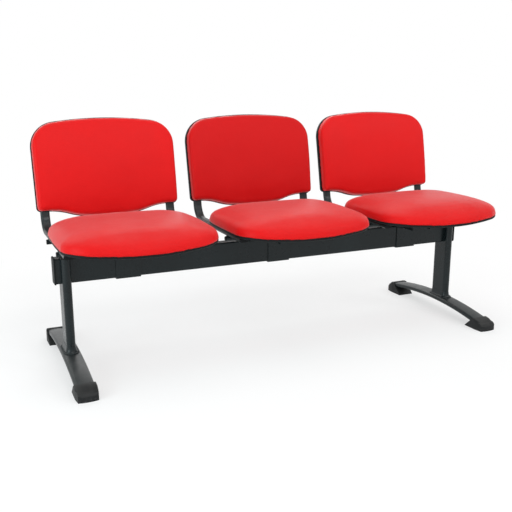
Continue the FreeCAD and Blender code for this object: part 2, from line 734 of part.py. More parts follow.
def back_half_outline():
    """Points of the back's outline on the +X side, with the arcs' middles."""
    bow_centre = vec(0, BACK_HEIGHT - BACK_TOP_BOW)
    corner_x = BACK_HALF_WIDTH - BACK_TOP_CORNER
    reach = BACK_TOP_BOW - BACK_TOP_CORNER
    corner = vec(corner_x, bow_centre.y + math.sqrt(reach ** 2 - corner_x ** 2))
    on_bow = bow_centre + (corner - bow_centre) * (BACK_TOP_BOW / reach)
    on_side = corner + vec(BACK_TOP_CORNER, 0)
    outward = (on_bow - corner) + vec(BACK_TOP_CORNER, 0)
    corner_mid = corner + outward * (BACK_TOP_CORNER / outward.Length)
    r = BACK_FOOT_CORNER
    k = r * (1 - math.sqrt(0.5))
    foot_side = vec(BACK_FOOT_HALF_WIDTH, BACK_FOOT_V + r)
    foot_mid = vec(BACK_FOOT_HALF_WIDTH - k, BACK_FOOT_V + k)
    foot_end = vec(BACK_FOOT_HALF_WIDTH - r, BACK_FOOT_V)
    return on_bow, corner_mid, on_side, foot_side, foot_mid, foot_end


def lobe_points():
    """The lower edge's S-curve on the +X side, from the straight to the lobe."""
    steep = math.radians(LOBE_STEEP)
    shallow = math.radians(LOBE_SHALLOW)

    def hollow(angle):
        return vec(LOBE_START - LOBE_HOLLOW * math.sin(angle),
                   BACK_FOOT_V - LOBE_HOLLOW * (1 - math.cos(angle)))

    turn = hollow(steep)
    centre = turn + vec(-LOBE_SHOULDER * math.sin(steep), LOBE_SHOULDER * math.cos(steep))

    def shoulder(angle):
        return centre + vec(LOBE_SHOULDER * math.sin(angle), -LOBE_SHOULDER * math.cos(angle))

    low = shoulder(shallow)
    bottom = low.y - low.x * math.tan(shallow / 2)
    return (vec(LOBE_START, BACK_FOOT_V), hollow(steep / 2), turn,
            shoulder((steep + shallow) / 2), low, vec(0, bottom))


def back_outline(inset=0.0):
    on_bow, corner_mid, on_side, foot_side, foot_mid, foot_end = back_half_outline()
    start, hollow_mid, turn, shoulder_mid, low, bottom = lobe_points()
    half = [(on_bow, corner_mid, on_side), (on_side, foot_side),
            (foot_side, foot_mid, foot_end), (foot_end, start),
            (start, hollow_mid, turn), (turn, shoulder_mid, low)]

    def mirrored(point):
        return vec(-point.x, point.y)

    edges = [arc(mirrored(on_bow), vec(0, BACK_HEIGHT), on_bow)]
    for points in half:
        edges.append(arc(*points) if len(points) == 3 else Part.makeLine(*points))
    edges.append(arc(low, bottom, mirrored(low)))
    for points in reversed(half):
        other = [mirrored(p) for p in reversed(points)]
        edges.append(arc(*other) if len(other) == 3 else Part.makeLine(*other))
    wire = Part.Wire(edges)
    return wire.makeOffset2D(-inset) if inset else wire


def back_layer(inset, near, far):
    """A curved layer of the back between two depths, cut to the outline."""
    reach = 300.0

    def edge(depth):
        radius = BACK_CURVE - depth
        rise = depth + radius - math.sqrt(radius ** 2 - reach ** 2)
        left = vec(-reach, -100, rise)
        right = vec(reach, -100, rise)
        return left, vec(0, -100, depth), right

    rear, front = edge(near), edge(far)
    band = Part.Face(Part.Wire([arc(*rear), Part.makeLine(rear[2], front[2]),
                                arc(front[2], front[1], front[0]),
                                Part.makeLine(front[0], rear[0])]))
    slab = band.extrude(vec(0, 500, 0))
    prism = Part.Face(back_outline(inset)).extrude(vec(0, 0, 150))
    prism.translate(vec(0, 0, -20))
    return prism.common(slab)


def place_back(shape):
    """Tilts a flat-built piece back and sets it behind its seat."""
    shape.rotate(vec(0, 0, 0), X_AXIS, 90 - BACK_LEAN)
    shape.translate(vec(0, BACK_Y, BACK_Z))
    return shape


def back_screw_rods(diameter, start, end):
    """Rods along the back's four screw lines, between two depths."""
    rods = []
    for side in (-1, 1):
        for v in BACK_SCREW_V:
            origin = vec(side * TUBE_OFFSET, BACK_Y, BACK_Z) + back_up() * v
            rods.append(rod(diameter, origin + back_forward() * start,
                            origin + back_forward() * end))
    return rods


def back_screw_seat():
    """Depth of the flat that each back screw's head rests on."""
    return back_sag(TUBE_OFFSET) + BACK_SCREW_SEAT


def cut_back_holes(shape, diameter, start=0.0, end=60.0):
    for hole in back_screw_rods(diameter, start, end):
        shape = shape.cut(hole)
    return shape


def cut_side_tubes(shape):
    for side in (-1, 1):
        shape = shape.cut(side_tube_solid(side, 0.3))
    return shape


def back_cover():
    """Moulded rear shell of the back, a curved tray with two tube notches."""
    tray = back_layer(0, 0, BACK_COVER_DEPTH)
    rear_face = max((f for f in tray.Faces if f.normalAt(0.5, 0.5).z < -0.9 or
                     f.CenterOfMass.z < 5), key=lambda f: f.Area)
    tray = tray.makeFillet(5.0, rear_face.Edges)
    tray = tray.cut(back_layer(COVER_WALL, COVER_WALL, BACK_COVER_DEPTH + 5))
    tray = cut_side_tubes(place_back(tray))
    tray = cut_back_holes(tray, BACK_SCREW[0] + HOLE_CLEARANCE)
    return cut_back_holes(tray, BACK_SCREW[1] + 1, -10.0, back_screw_seat())


def back_panel():
    """Curved plywood panel, bolted to the front of the side tubes."""
    panel = back_layer(PANEL_INSET, panel_rear(), panel_rear() + PANEL_THICKNESS)
    return cut_back_holes(place_back(panel), BACK_SCREW[0], 0.0, back_screw_seat() + 26)


def back_cushion():
    """Padded back: curved across, crowned from top to bottom, round edged."""
    low, high = -90.0, BACK_HEIGHT + 60
    middle = (low + high) / 2
    bow_drop = BACK_CROWN_BOW - math.sqrt(BACK_CROWN_BOW ** 2 - (high - middle) ** 2)
    profile = Part.Face(Part.Wire([
        Part.makeLine(vec(0, high, BACK_COVER_DEPTH), vec(0, low, BACK_COVER_DEPTH)),
        Part.makeLine(vec(0, low, BACK_COVER_DEPTH), vec(0, low, BACK_THICKNESS - bow_drop)),
        arc(vec(0, low, BACK_THICKNESS - bow_drop), vec(0, middle, BACK_THICKNESS),
            vec(0, high, BACK_THICKNESS - bow_drop)),
        Part.makeLine(vec(0, high, BACK_THICKNESS - bow_drop), vec(0, high, BACK_COVER_DEPTH)),
    ]))
    axis_point = vec(0, 0, BACK_CURVE)
    profile.rotate(axis_point, Y_AXIS, -7)
    crowned = profile.revolve(axis_point, Y_AXIS, 14)
    prism = Part.Face(back_outline()).extrude(vec(0, 0, 150))
    pad = prism.common(crowned)
    front_face = max((f for f in pad.Faces if f.CenterOfMass.z > 35), key=lambda f: f.Area)
    pad = pad.makeFillet(BACK_EDGE_ROUNDING, front_face.Edges)
    pocket = back_layer(PANEL_INSET, 0, panel_rear() + PANEL_THICKNESS)
    return cut_side_tubes(place_back(pad.cut(pocket)))


def back_screws():
    """Screws from the rear through cover and side tube into the back panel."""
    shank, head, height = BACK_SCREW
    seat = back_screw_seat()
    heads = back_screw_rods(head, seat - height, seat)
    shanks = back_screw_rods(shank, seat, seat + 25)
    return [a.fuse(b) for a, b in zip(heads, shanks)]


def moved(shape, x):
    copy = shape.copy()
    copy.translate(vec(x, 0, 0))
    return copy


def on_every_seat(pieces):
    """A group of one seat's small pieces, repeated at each seat."""
    return Part.makeCompound([moved(piece, x) for x in SEATS.values() for piece in pieces])


def leg_nodes():
    nodes = {}
    pieces = {"upright_{}": upright(), "upright_cap_{}": upright_cap(), "foot_{}": foot(),
              "foot_weld_{}": foot_weld(), "foot_glide_{}_front": foot_glide(-1),
              "foot_glide_{}_rear": foot_glide(1)}
    for name, side in (("left", -1), ("right", 1)):
        for pattern, piece in pieces.items():
            nodes[pattern.format(name)] = moved(piece, side * LEG_X)
    nodes["leg_screws"] = leg_screws()
    nodes["leg_screw_washers"] = leg_screw_washers()
    nodes["leg_nuts"] = leg_nuts()
    return nodes


def seat_nodes():
    pieces = {"carrier": carrier(), "clamp_saddle": clamp_saddle(),
              "cross_tube_front": cross_tube(CROSS_FRONT_Y),
              "cross_tube_rear": cross_tube(CROSS_REAR_Y),
              "side_tube_a": side_tube(-1), "side_tube_b": side_tube(1),
              "seat_cover": seat_cover(), "seat_board": seat_board(),
              "seat_cushion": seat_cushion(), "back_cover": back_cover(),
              "back_panel": back_panel(), "back_cushion": back_cushion()}
    nodes = {}
    for name, x in SEATS.items():
        for part_name, piece in pieces.items():
            nodes[part_name + "_" + name] = moved(piece, x)
    nodes["clamp_bolts"] = on_every_seat(clamp_bolts())
    nodes["clamp_nuts"] = on_every_seat(clamp_nuts())
    nodes["cross_tube_plugs"] = on_every_seat(cross_tube_plugs())
    nodes["side_tube_plugs"] = on_every_seat(side_tube_plugs())
    nodes["seat_screws"] = on_every_seat(seat_screws())
    nodes["back_screws"] = on_every_seat(back_screws())
    return nodes


def beam_nodes():
    return {"beam": beam(), "beam_cap_left": beam_cap(-1), "beam_cap_right": beam_cap(1)}


os.makedirs("parts", exist_ok=True)
for make_nodes in (beam_nodes, leg_nodes, seat_nodes):
    for node_name, shape in make_nodes().items():
        shape.exportStep("parts/" + node_name + ".step")
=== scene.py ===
import math

import bmesh
import bpy
import numpy as np
from mathutils import Matrix, Vector, noise


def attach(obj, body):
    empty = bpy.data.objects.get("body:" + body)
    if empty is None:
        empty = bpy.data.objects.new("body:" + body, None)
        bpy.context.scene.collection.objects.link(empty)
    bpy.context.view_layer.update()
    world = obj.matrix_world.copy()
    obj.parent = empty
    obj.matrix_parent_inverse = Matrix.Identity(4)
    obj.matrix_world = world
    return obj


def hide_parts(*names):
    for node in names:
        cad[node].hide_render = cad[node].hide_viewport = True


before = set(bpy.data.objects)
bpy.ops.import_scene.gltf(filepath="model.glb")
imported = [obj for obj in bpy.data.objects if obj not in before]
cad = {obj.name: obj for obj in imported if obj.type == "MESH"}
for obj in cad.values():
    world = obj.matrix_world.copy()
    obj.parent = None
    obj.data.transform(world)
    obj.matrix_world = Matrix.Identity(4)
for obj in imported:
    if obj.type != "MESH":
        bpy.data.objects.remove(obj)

# The imported model. Lengths are metres, X along the beam, Y to the backrests.
scene = bpy.context.scene
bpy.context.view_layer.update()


# Camera: eye height of a person who stands in front and to the left of the
# bench, looking slightly down along it.
camera_data = bpy.data.cameras.new("camera")
camera_data.sensor_width = 36.0
camera_data.lens = 50.4
camera_data.shift_x = -0.0018
camera_data.shift_y = 0.0037
camera = bpy.data.objects.new("camera", camera_data)
camera.location = (-1.062, -2.195, 0.892)
camera.rotation_euler = (math.radians(90 - 13.98), 0.0, math.radians(-24.26))
scene.collection.objects.link(camera)
scene.camera = camera
scene.view_settings.view_transform = "Standard"


# Studio: a white floor that runs into a white surround, broad soft lights
# overhead, behind and high in front, a cooler one at the left, and even light
# from all round.
def add(tree, kind, inputs=None, **settings):
    """A node in a tree, with its settings, and its inputs set or linked."""
    node = tree.nodes.new(kind)
    for key, value in settings.items():
        setattr(node, key, value)
    for key, value in (inputs or {}).items():
        if isinstance(value, bpy.types.NodeSocket):
            tree.links.new(value, node.inputs[key])
        else:
            node.inputs[key].default_value = value
    return node


def seen_directly(tree):
    """1 for what the camera sees, straight or in a gloss, and 0 for lighting."""
    path = add(tree, "ShaderNodeLightPath")
    straight = add(tree, "ShaderNodeMath", {0: path.outputs["Is Camera Ray"],
                   1: path.outputs["Is Glossy Ray"]}, operation="MAXIMUM")
    through = add(tree, "ShaderNodeMath", {0: straight.outputs[0],
                  1: path.outputs["Is Transmission Ray"]}, operation="MAXIMUM")
    return through.outputs[0]


world = bpy.data.worlds.new("white surround")
scene.world = world
world.use_nodes = True
world.node_tree.nodes.clear()
level = add(world.node_tree, "ShaderNodeMapRange",
            {"Value": seen_directly(world.node_tree), "To Min": 0.48, "To Max": 1.0})
surround = add(world.node_tree, "ShaderNodeBackground",
               {"Color": (1.0, 1.0, 1.0, 1.0), "Strength": level.outputs[0]})
add(world.node_tree, "ShaderNodeOutputWorld", {"Surface": surround.outputs[0]})

for lamp_name, lamp_place, lamp_aim, lamp_size, lamp_watts, lamp_tint in (
        ("overhead softbox", (0.0, -0.4, 2.7), (0.0, 0.0, 0.4), (3.2, 1.8), 24.0, (1, 1, 1)),
        ("left softbox", (-2.9, -1.1, 0.9), (-0.2, 0.0, 0.4), (1.8, 1.6), 38.0, (0.8, 0.97, 1)),
        ("front softbox", (0.0, -3.1, 2.35), (-0.1, 0.0, 0.5), (1.7, 1.2), 30.0, (1, 1, 1)),
        ("front right softbox", (2.8, -2.5, 2.3), (0.4, 0.0, 0.5), (1.3, 1.2), 24.0, (1, 1, 1)),
        ("rear softbox", (0.3, 2.4, 1.9), (0.0, 0.0, 0.4), (3.0, 1.2), 22.0, (1, 1, 1))):
    lamp_data = bpy.data.lights.new(lamp_name, "AREA")
    lamp_data.shape = "RECTANGLE"
    lamp_data.size, lamp_data.size_y = lamp_size
    lamp_data.energy = lamp_watts
    lamp_data.color = lamp_tint
    lamp = bpy.data.objects.new(lamp_name, lamp_data)
    lamp.location = lamp_place
    aim = Vector(lamp_aim) - Vector(lamp_place)
    lamp.rotation_euler = aim.to_track_quat("-Z", "Y").to_euler()
    scene.collection.objects.link(lamp)

floor_mesh = bpy.data.meshes.new("studio_floor")
floor_mesh.from_pydata([(-9, -9, 0), (9, -9, 0), (9, 9, 0), (-9, 9, 0)], [], [(0, 1, 2, 3)])
floor = bpy.data.objects.new("studio_floor", floor_mesh)
scene.collection.objects.link(floor)
floor_paint = bpy.data.materials.new("white floor")
floor_paint.use_nodes = True
tree = floor_paint.node_tree
tree.nodes.clear()
place = add(tree, "ShaderNodeTexCoord")
away = add(tree, "ShaderNodeVectorMath", {0: place.outputs["Object"]}, operation="LENGTH")
fade = add(tree, "ShaderNodeMapRange", {"Value": away.outputs["Value"], "From Min": 0.9,
           "From Max": 1.7, "To Min": 0.55}, interpolation_type="SMOOTHSTEP")
white_share = add(tree, "ShaderNodeMath", {0: fade.outputs[0], 1: seen_directly(tree)},
                  operation="MULTIPLY")
matt = add(tree, "ShaderNodeBsdfDiffuse", {"Color": (1.0, 1.0, 1.0, 1.0)})
plain = add(tree, "ShaderNodeEmission", {"Color": (1.0, 1.0, 1.0, 1.0), "Strength": 1.0})
mixed = add(tree, "ShaderNodeMixShader", {0: white_share.outputs[0], 1: matt.outputs[0],
            2: plain.outputs[0]})
add(tree, "ShaderNodeOutputMaterial", {"Surface": mixed.outputs[0]})
floor_mesh.materials.append(floor_paint)


# Beam: one length of rectangular steel tube, sawn to size and powder coated
# black. The coating has a fine orange-peel skin and a little dust on top.
def effect(name, inputs, outputs):
    """A shader node group with named sockets: the group and its two end nodes."""
    group = bpy.data.node_groups.new(name, "ShaderNodeTree")
    for label, value in inputs.items():
        kind = "NodeSocketVector" if value is None else "NodeSocketFloat"
        socket = group.interface.new_socket(label, in_out="INPUT", socket_type=kind)
        if value is not None:
            socket.default_value = value
    for label in outputs:
        kind = "NodeSocketColor" if label == "Color" else "NodeSocketFloat"
        group.interface.new_socket(label, in_out="OUTPUT", socket_type=kind)
    return group, group.nodes.new("NodeGroupInput"), group.nodes.new("NodeGroupOutput")


# Dust that settles in thin patches on whatever faces up
dust, given, result = effect("settled dust", {"Vector": None, "Amount": 0.3, "Scale": 22.0},
                             ["Mask"])
facing = add(dust, "ShaderNodeNewGeometry")
upward = add(dust, "ShaderNodeSeparateXYZ", {0: facing.outputs["Normal"]})
flat_on = add(dust, "ShaderNodeMapRange", {"Value": upward.outputs["Z"], "From Min": 0.35,
              "From Max": 1.0}, interpolation_type="SMOOTHSTEP")
patches = add(dust, "ShaderNodeTexNoise", {"Vector": given.outputs["Vector"],
              "Scale": given.outputs["Scale"], "Detail": 6.0, "Roughness": 0.65})
thin = add(dust, "ShaderNodeMapRange", {"Value": patches.outputs["Fac"], "From Min": 0.35,
           "From Max": 0.75, "To Min": 0.25})
both = add(dust, "ShaderNodeMath", {0: flat_on.outputs[0], 1: thin.outputs[0]},
           operation="MULTIPLY")
amount = add(dust, "ShaderNodeMath", {0: both.outputs[0], 1: given.outputs["Amount"]},
             operation="MULTIPLY")
dust.links.new(amount.outputs[0], result.inputs["Mask"])

# Wear that breaks through in places along the outer edges
edge_wear, given, result = effect("edge wear", {"Vector": None, "Width": 0.0012,
                                  "Amount": 0.5}, ["Mask"])
rounded = add(edge_wear, "ShaderNodeBevel", {"Radius": given.outputs["Width"]}, samples=4)
surface = add(edge_wear, "ShaderNodeNewGeometry")
turn = add(edge_wear, "ShaderNodeVectorMath", {0: rounded.outputs[0],
           1: surface.outputs["Normal"]}, operation="DOT_PRODUCT")
edge = add(edge_wear, "ShaderNodeMapRange", {"Value": turn.outputs["Value"],
           "From Min": 0.995, "From Max": 0.86})
rubs = add(edge_wear, "ShaderNodeTexNoise", {"Vector": given.outputs["Vector"],
           "Scale": 70.0, "Detail": 5.0, "Roughness": 0.7})
broken = add(edge_wear, "ShaderNodeMapRange", {"Value": rubs.outputs["Fac"],
             "From Min": 0.48, "From Max": 0.62})
rubbed = add(edge_wear, "ShaderNodeMath", {0: edge.outputs[0], 1: broken.outputs[0]},
             operation="MULTIPLY")
amount = add(edge_wear, "ShaderNodeMath", {0: rubbed.outputs[0], 1: given.outputs["Amount"]},
             operation="MULTIPLY")
edge_wear.links.new(amount.outputs[0], result.inputs["Mask"])

# The skin of baked powder: low round swellings, with broad drifts in its gloss
powder, given, result = effect("powder skin", {"Vector": None, "Scale": 480.0},
                               ["Height", "Tone", "Gloss"])
peel = add(powder, "ShaderNodeTexNoise", {"Vector": given.outputs["Vector"],
           "Scale": given.outputs["Scale"], "Detail": 2.0, "Roughness": 0.45})
drift = add(powder, "ShaderNodeTexNoise", {"Vector": given.outputs["Vector"],
            "Scale": 9.0, "Detail": 4.0, "Roughness": 0.6})
fingers = add(powder, "ShaderNodeTexNoise", {"Vector": given.outputs["Vector"],
              "Scale": 55.0, "Detail": 5.0, "Roughness": 0.65, "Distortion": 0.6})
gloss = add(powder, "ShaderNodeMath", {0: drift.outputs["Fac"], 1: fingers.outputs["Fac"]},
            operation="MULTIPLY")
powder.links.new(peel.outputs["Fac"], result.inputs["Height"])
powder.links.new(drift.outputs["Fac"], result.inputs["Tone"])
powder.links.new(gloss.outputs[0], result.inputs["Gloss"])


def finish(name):
    """A new material: the material, its tree, its shader and object coordinates."""
    material = bpy.data.materials.new(name)
    material.use_nodes = True
    tree = material.node_tree
    shader = tree.nodes["Principled BSDF"]
    coordinates = tree.nodes.new("ShaderNodeTexCoord").outputs["Object"]
    return material, tree, shader, coordinates


def place_effect(tree, group, coordinates, **values):
    """A node group in a material's tree, on object coordinates."""
    node = add(tree, "ShaderNodeGroup", node_tree=group)
    tree.links.new(coordinates, node.inputs["Vector"])
    for key, value in values.items():
        node.inputs[key].default_value = value
    return node


def blended(tree, factor, first, second):
    """A colour between two, each a plain colour or another node's output."""
    mix = add(tree, "ShaderNodeMix", data_type="RGBA")
    for index, value in ((0, factor), (6, first), (7, second)):
        if isinstance(value, bpy.types.NodeSocket):
            tree.links.new(value, mix.inputs[index])
        else:
            mix.inputs[index].default_value = value
    return mix.outputs[2]


def ranged(tree, value, low, high, start=0.0, end=1.0):
    """A value carried from one range to another."""
    return add(tree, "ShaderNodeMapRange", {"Value": value, "From Min": start,
               "From Max": end, "To Min": low, "To Max": high}).outputs[0]


def summed(tree, *values):
    total = values[0]
    for value in values[1:]:
        total = add(tree, "ShaderNodeMath", {0: total, 1: value}, operation="ADD").outputs[0]
    return total


powder_coat, tree, shader, where = finish("black powder coat")
shader.inputs["Specular IOR Level"].default_value = 0.27
skin = place_effect(tree, powder, where)
worn = place_effect(tree, edge_wear, where, Width=0.0014, Amount=0.35)
dusty = place_effect(tree, dust, where, Amount=0.10)
colour = blended(tree, skin.outputs["Tone"], (0.0048, 0.0088, 0.0100, 1),
                 (0.0100, 0.0165, 0.0182, 1))
colour = blended(tree, worn.outputs["Mask"], colour, (0.16, 0.165, 0.17, 1))
colour = blended(tree, dusty.outputs["Mask"], colour, (0.34, 0.33, 0.31, 1))
tree.links.new(colour, shader.inputs["Base Color"])
rough = ranged(tree, skin.outputs["Gloss"], 0.23, 0.40, 0.12, 0.42)
rough = summed(tree, rough, dusty.outputs["Mask"])
tree.links.new(rough, shader.inputs["Roughness"])
bump = add(tree, "ShaderNodeBump", {"Height": skin.outputs["Height"], "Strength": 0.25,
           "Distance": 0.0002})
tree.links.new(bump.outputs[0], shader.inputs["Normal"])


def paint(material, *names):
    """Gives CAD nodes a material."""
    for name in names:
        cad[name].data.materials.clear()
        cad[name].data.materials.append(material)


paint(powder_coat, "beam")


# Beam end caps: black polypropylene mouldings, pushed into the ends of the
# beam until their lipped flange stops them. The skin is a fine eroded grain.
moulded_grain, given, result = effect("moulded grain", {"Vector": None, "Scale": 900.0},
                                      ["Height", "Tone"])
pits = add(moulded_grain, "ShaderNodeTexVoronoi", {"Vector": given.outputs["Vector"],
           "Scale": given.outputs["Scale"]}, feature="SMOOTH_F1")
sand = add(moulded_grain, "ShaderNodeTexNoise", {"Vector": given.outputs["Vector"],
           "Scale": given.outputs["Scale"], "Detail": 3.0})
relief = add(moulded_grain, "ShaderNodeMath", {0: pits.outputs["Distance"],
             1: sand.outputs["Fac"]}, operation="ADD")
flow = add(moulded_grain, "ShaderNodeTexNoise", {"Vector": given.outputs["Vector"],
           "Scale": 14.0, "Detail": 5.0, "Distortion": 0.8})
moulded_grain.links.new(relief.outputs[0], result.inputs["Height"])
moulded_grain.links.new(flow.outputs["Fac"], result.inputs["Tone"])

moulded_black, tree, shader, where = finish("black moulded plastic")
shader.inputs["Specular IOR Level"].default_value = 0.10
grain = place_effect(tree, moulded_grain, where)
worn = place_effect(tree, edge_wear, where, Width=0.001, Amount=0.06)
dusty = place_effect(tree, dust, where, Amount=0.025)
colour = blended(tree, grain.outputs["Tone"], (0.0060, 0.0070, 0.0076, 1),
                 (0.0120, 0.0134, 0.0142, 1))
colour = blended(tree, worn.outputs["Mask"], colour, (0.07, 0.07, 0.072, 1))
colour = blended(tree, dusty.outputs["Mask"], colour, (0.33, 0.32, 0.30, 1))
tree.links.new(colour, shader.inputs["Base Color"])
rough = summed(tree, ranged(tree, grain.outputs["Tone"], 0.42, 0.60, 0.25, 0.75),
               dusty.outputs["Mask"])
tree.links.new(rough, shader.inputs["Roughness"])
bump = add(tree, "ShaderNodeBump", {"Height": grain.outputs["Height"], "Strength": 0.3,
           "Distance": 0.00015})
tree.links.new(bump.outputs[0], shader.inputs["Normal"])
paint(moulded_black, "beam_cap_left", "beam_cap_right")


# Uprights: oval steel tubes, coped over the foot below and slotted for the
# beam above, in the same black powder coat. A flat oval cap closes each top.
paint(powder_coat, "upright_left", "upright_right")
paint(moulded_black, "upright_cap_left", "upright_cap_right")


# Feet: flattened oval tube rolled to one long arc. Section and arc follow a
# rule, so one node tree sweeps the section; the side tubes use it again.
def geometry_tree(name, inputs):
    """A geometry node tree with named inputs: the tree and its two end nodes."""
    tree = bpy.data.node_groups.new(name, "GeometryNodeTree")
    tree.interface.new_socket("Geometry", in_out="INPUT", socket_type="NodeSocketGeometry")
    for label, value in inputs.items():
        kind = {float: "NodeSocketFloat", int: "NodeSocketInt",
                tuple: "NodeSocketVector"}.get(type(value))
        kind = kind or ("NodeSocketObject" if value == "object" else "NodeSocketMaterial")
        socket = tree.interface.new_socket(label, in_out="INPUT", socket_type=kind)
        if kind in ("NodeSocketFloat", "NodeSocketInt", "NodeSocketVector"):
            socket.default_value = value
    tree.interface.new_socket("Geometry", in_out="OUTPUT", socket_type="NodeSocketGeometry")
    return tree, tree.nodes.new("NodeGroupInput"), tree.nodes.new("NodeGroupOutput")


def grown(name, tree, mesh, **values):
    """A plain mesh object made by a geometry node tree from a starting mesh."""
    seed = bpy.data.objects.new(name + "_start", mesh)
    scene.collection.objects.link(seed)
    modifier = seed.modifiers.new("grow", "NODES")
    modifier.node_group = tree
    for item in tree.interface.items_tree:
        key = item.name.lower().replace(" ", "_")
        if item.item_type == "SOCKET" and item.in_out == "INPUT" and key in values:
            modifier[item.identifier] = values[key]
    bpy.context.view_layer.update()
    seen = seed.evaluated_get(bpy.context.evaluated_depsgraph_get())
    made = bpy.data.meshes.new_from_object(seen)
    bpy.data.objects.remove(seed)
    piece = bpy.data.objects.new(name, made)
    scene.collection.objects.link(piece)
    return piece


def line_mesh(name, runs):
    """A mesh of bare edges through each run of points."""
    points = [point for run in runs for point in run]
    edges = []
    first = 0
    for run in runs:
        edges += [(first + k, first + k + 1) for k in range(len(run) - 1)]
        first += len(run)
    mesh = bpy.data.meshes.new(name)
    mesh.from_pydata(points, edges, [])
    return mesh


def smooth(piece, angle=40.0):
    """Smooth shading, but for edges sharper than an angle."""
    bm = bmesh.new()
    bm.from_mesh(piece.data)
    for face in bm.faces:
        face.smooth = True
    for edge in bm.edges:
        if len(edge.link_faces) == 2:
            edge.smooth = edge.calc_face_angle(0.0) < math.radians(angle)
    bm.to_mesh(piece.data)
    bm.free()


oval_tube, given, result = geometry_tree("swept oval tube", {
    "Width": 0.056, "Thickness": 0.020, "Edge Radius": 0.007, "Crown": 0.002,
    "Bend Radius": 0.001, "Finish": "material"})
path = add(oval_tube, "GeometryNodeMeshToCurve", {0: given.outputs["Geometry"]})
bent = add(oval_tube, "GeometryNodeFilletCurve", {"Curve": path.outputs[0],
           "Radius": given.outputs["Bend Radius"], "Count": 20}, mode="POLY")
crowns = add(oval_tube, "ShaderNodeMath", {0: given.outputs["Crown"], 1: 2.0},
             operation="MULTIPLY")
side_height = add(oval_tube, "ShaderNodeMath", {0: given.outputs["Thickness"],
                  1: crowns.outputs[0]}, operation="SUBTRACT")
block = add(oval_tube, "GeometryNodeCurvePrimitiveQuadrilateral",
            {"Width": given.outputs["Width"], "Height": side_height.outputs[0]})
corners = add(oval_tube, "GeometryNodeFilletCurve", {"Curve": block.outputs[0],
              "Radius": given.outputs["Edge Radius"], "Count": 9,
              "Limit Radius": True}, mode="POLY")
even = add(oval_tube, "GeometryNodeResampleCurve", {"Curve": corners.outputs[0], "Count": 84})
spot = add(oval_tube, "GeometryNodeInputPosition")
parts = add(oval_tube, "ShaderNodeSeparateXYZ", {0: spot.outputs[0]})
across = add(oval_tube, "ShaderNodeMath", {0: parts.outputs["X"],
             1: given.outputs["Width"]}, operation="DIVIDE")
square = add(oval_tube, "ShaderNodeMath", {0: across.outputs[0], 1: across.outputs[0]},
             operation="MULTIPLY")
bulge = add(oval_tube, "ShaderNodeMath", {0: square.outputs[0], 1: -4.0, 2: 1.0},
            operation="MULTIPLY_ADD")
lift = add(oval_tube, "ShaderNodeMath", {0: bulge.outputs[0], 1: given.outputs["Crown"]},
           operation="MULTIPLY")
side = add(oval_tube, "ShaderNodeMath", {0: parts.outputs["Y"], 1: 400.0}, operation="MULTIPLY")
above = add(oval_tube, "ShaderNodeClamp", {0: side.outputs[0], 1: -1.0, 2: 1.0})
push = add(oval_tube, "ShaderNodeMath", {0: lift.outputs[0], 1: above.outputs[0]},
           operation="MULTIPLY")
offset = add(oval_tube, "ShaderNodeCombineXYZ", {"Y": push.outputs[0]})
section = add(oval_tube, "GeometryNodeSetPosition", {"Geometry": even.outputs[0],
              "Offset": offset.outputs[0]})
upright_path = add(oval_tube, "GeometryNodeSetCurveNormal", {"Curve": bent.outputs[0]},
                   mode="Z_UP")
swept = add(oval_tube, "GeometryNodeCurveToMesh", {"Curve": upright_path.outputs[0],
            "Profile Curve": section.outputs[0], "Fill Caps": True})
coated = add(oval_tube, "GeometryNodeSetMaterial", {"Geometry": swept.outputs[0],
             "Material": given.outputs["Finish"]})
real = add(oval_tube, "GeometryNodeRealizeInstances", {0: coated.outputs[0]})
oval_tube.links.new(real.outputs[0], result.inputs["Geometry"])

LEG_X = {"left": -0.725, "right": 0.725}
ARCH_RADIUS = 1.350
ARCH_TOP_Y, ARCH_TOP_Z = 0.035, 0.054
TUBE_ENDS_Y = (-0.247, 0.274)
arch_centre = Vector((0.0, ARCH_TOP_Y, ARCH_TOP_Z - ARCH_RADIUS))
for leg, x in LEG_X.items():
    front, rear = [math.asin((y - ARCH_TOP_Y) / ARCH_RADIUS) for y in TUBE_ENDS_Y]
    arch = [arch_centre + Vector((x, ARCH_RADIUS * math.sin(a), ARCH_RADIUS * math.cos(a)))
            for a in np.linspace(front, rear, 49)]
    foot = grown("foot_tube_" + leg, oval_tube, line_mesh("arch", [arch]), width=0.058,
                 thickness=0.020, edge_radius=0.0066, crown=0.0022, bend_radius=0.0,
                 finish=powder_coat)
    smooth(foot)
    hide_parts("foot_" + leg)
    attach(foot, "root")


# Weld beads: the upright is welded all round where it stands on the foot. The
# bead is laid as overlapping drops and painted over with the rest of the leg.
drops_along, given, result = geometry_tree("weld drops", {
    "Drop": "object", "Spacing": 0.0022, "Size": 1.0, "Seed": 3, "Finish": "material"})
path = add(drops_along, "GeometryNodeMeshToCurve", {0: given.outputs["Geometry"]})
steps = add(drops_along, "GeometryNodeCurveToPoints", {"Curve": path.outputs[0],
            "Length": given.outputs["Spacing"]}, mode="LENGTH")
drop = add(drops_along, "GeometryNodeObjectInfo", {"Object": given.outputs["Drop"]})
varied = add(drops_along, "FunctionNodeRandomValue", {"Min": (0.86, 0.82, 0.80),
             "Max": (1.1, 1.14, 1.16), "Seed": given.outputs["Seed"]},
             data_type="FLOAT_VECTOR")
sized = add(drops_along, "ShaderNodeVectorMath", {0: varied.outputs[0],
            "Scale": given.outputs["Size"]}, operation="SCALE")
laid = add(drops_along, "GeometryNodeInstanceOnPoints", {"Points": steps.outputs["Points"],
           "Instance": drop.outputs["Geometry"], "Rotation": steps.outputs["Rotation"],
           "Scale": sized.outputs[0]})
real = add(drops_along, "GeometryNodeRealizeInstances", {0: laid.outputs[0]})
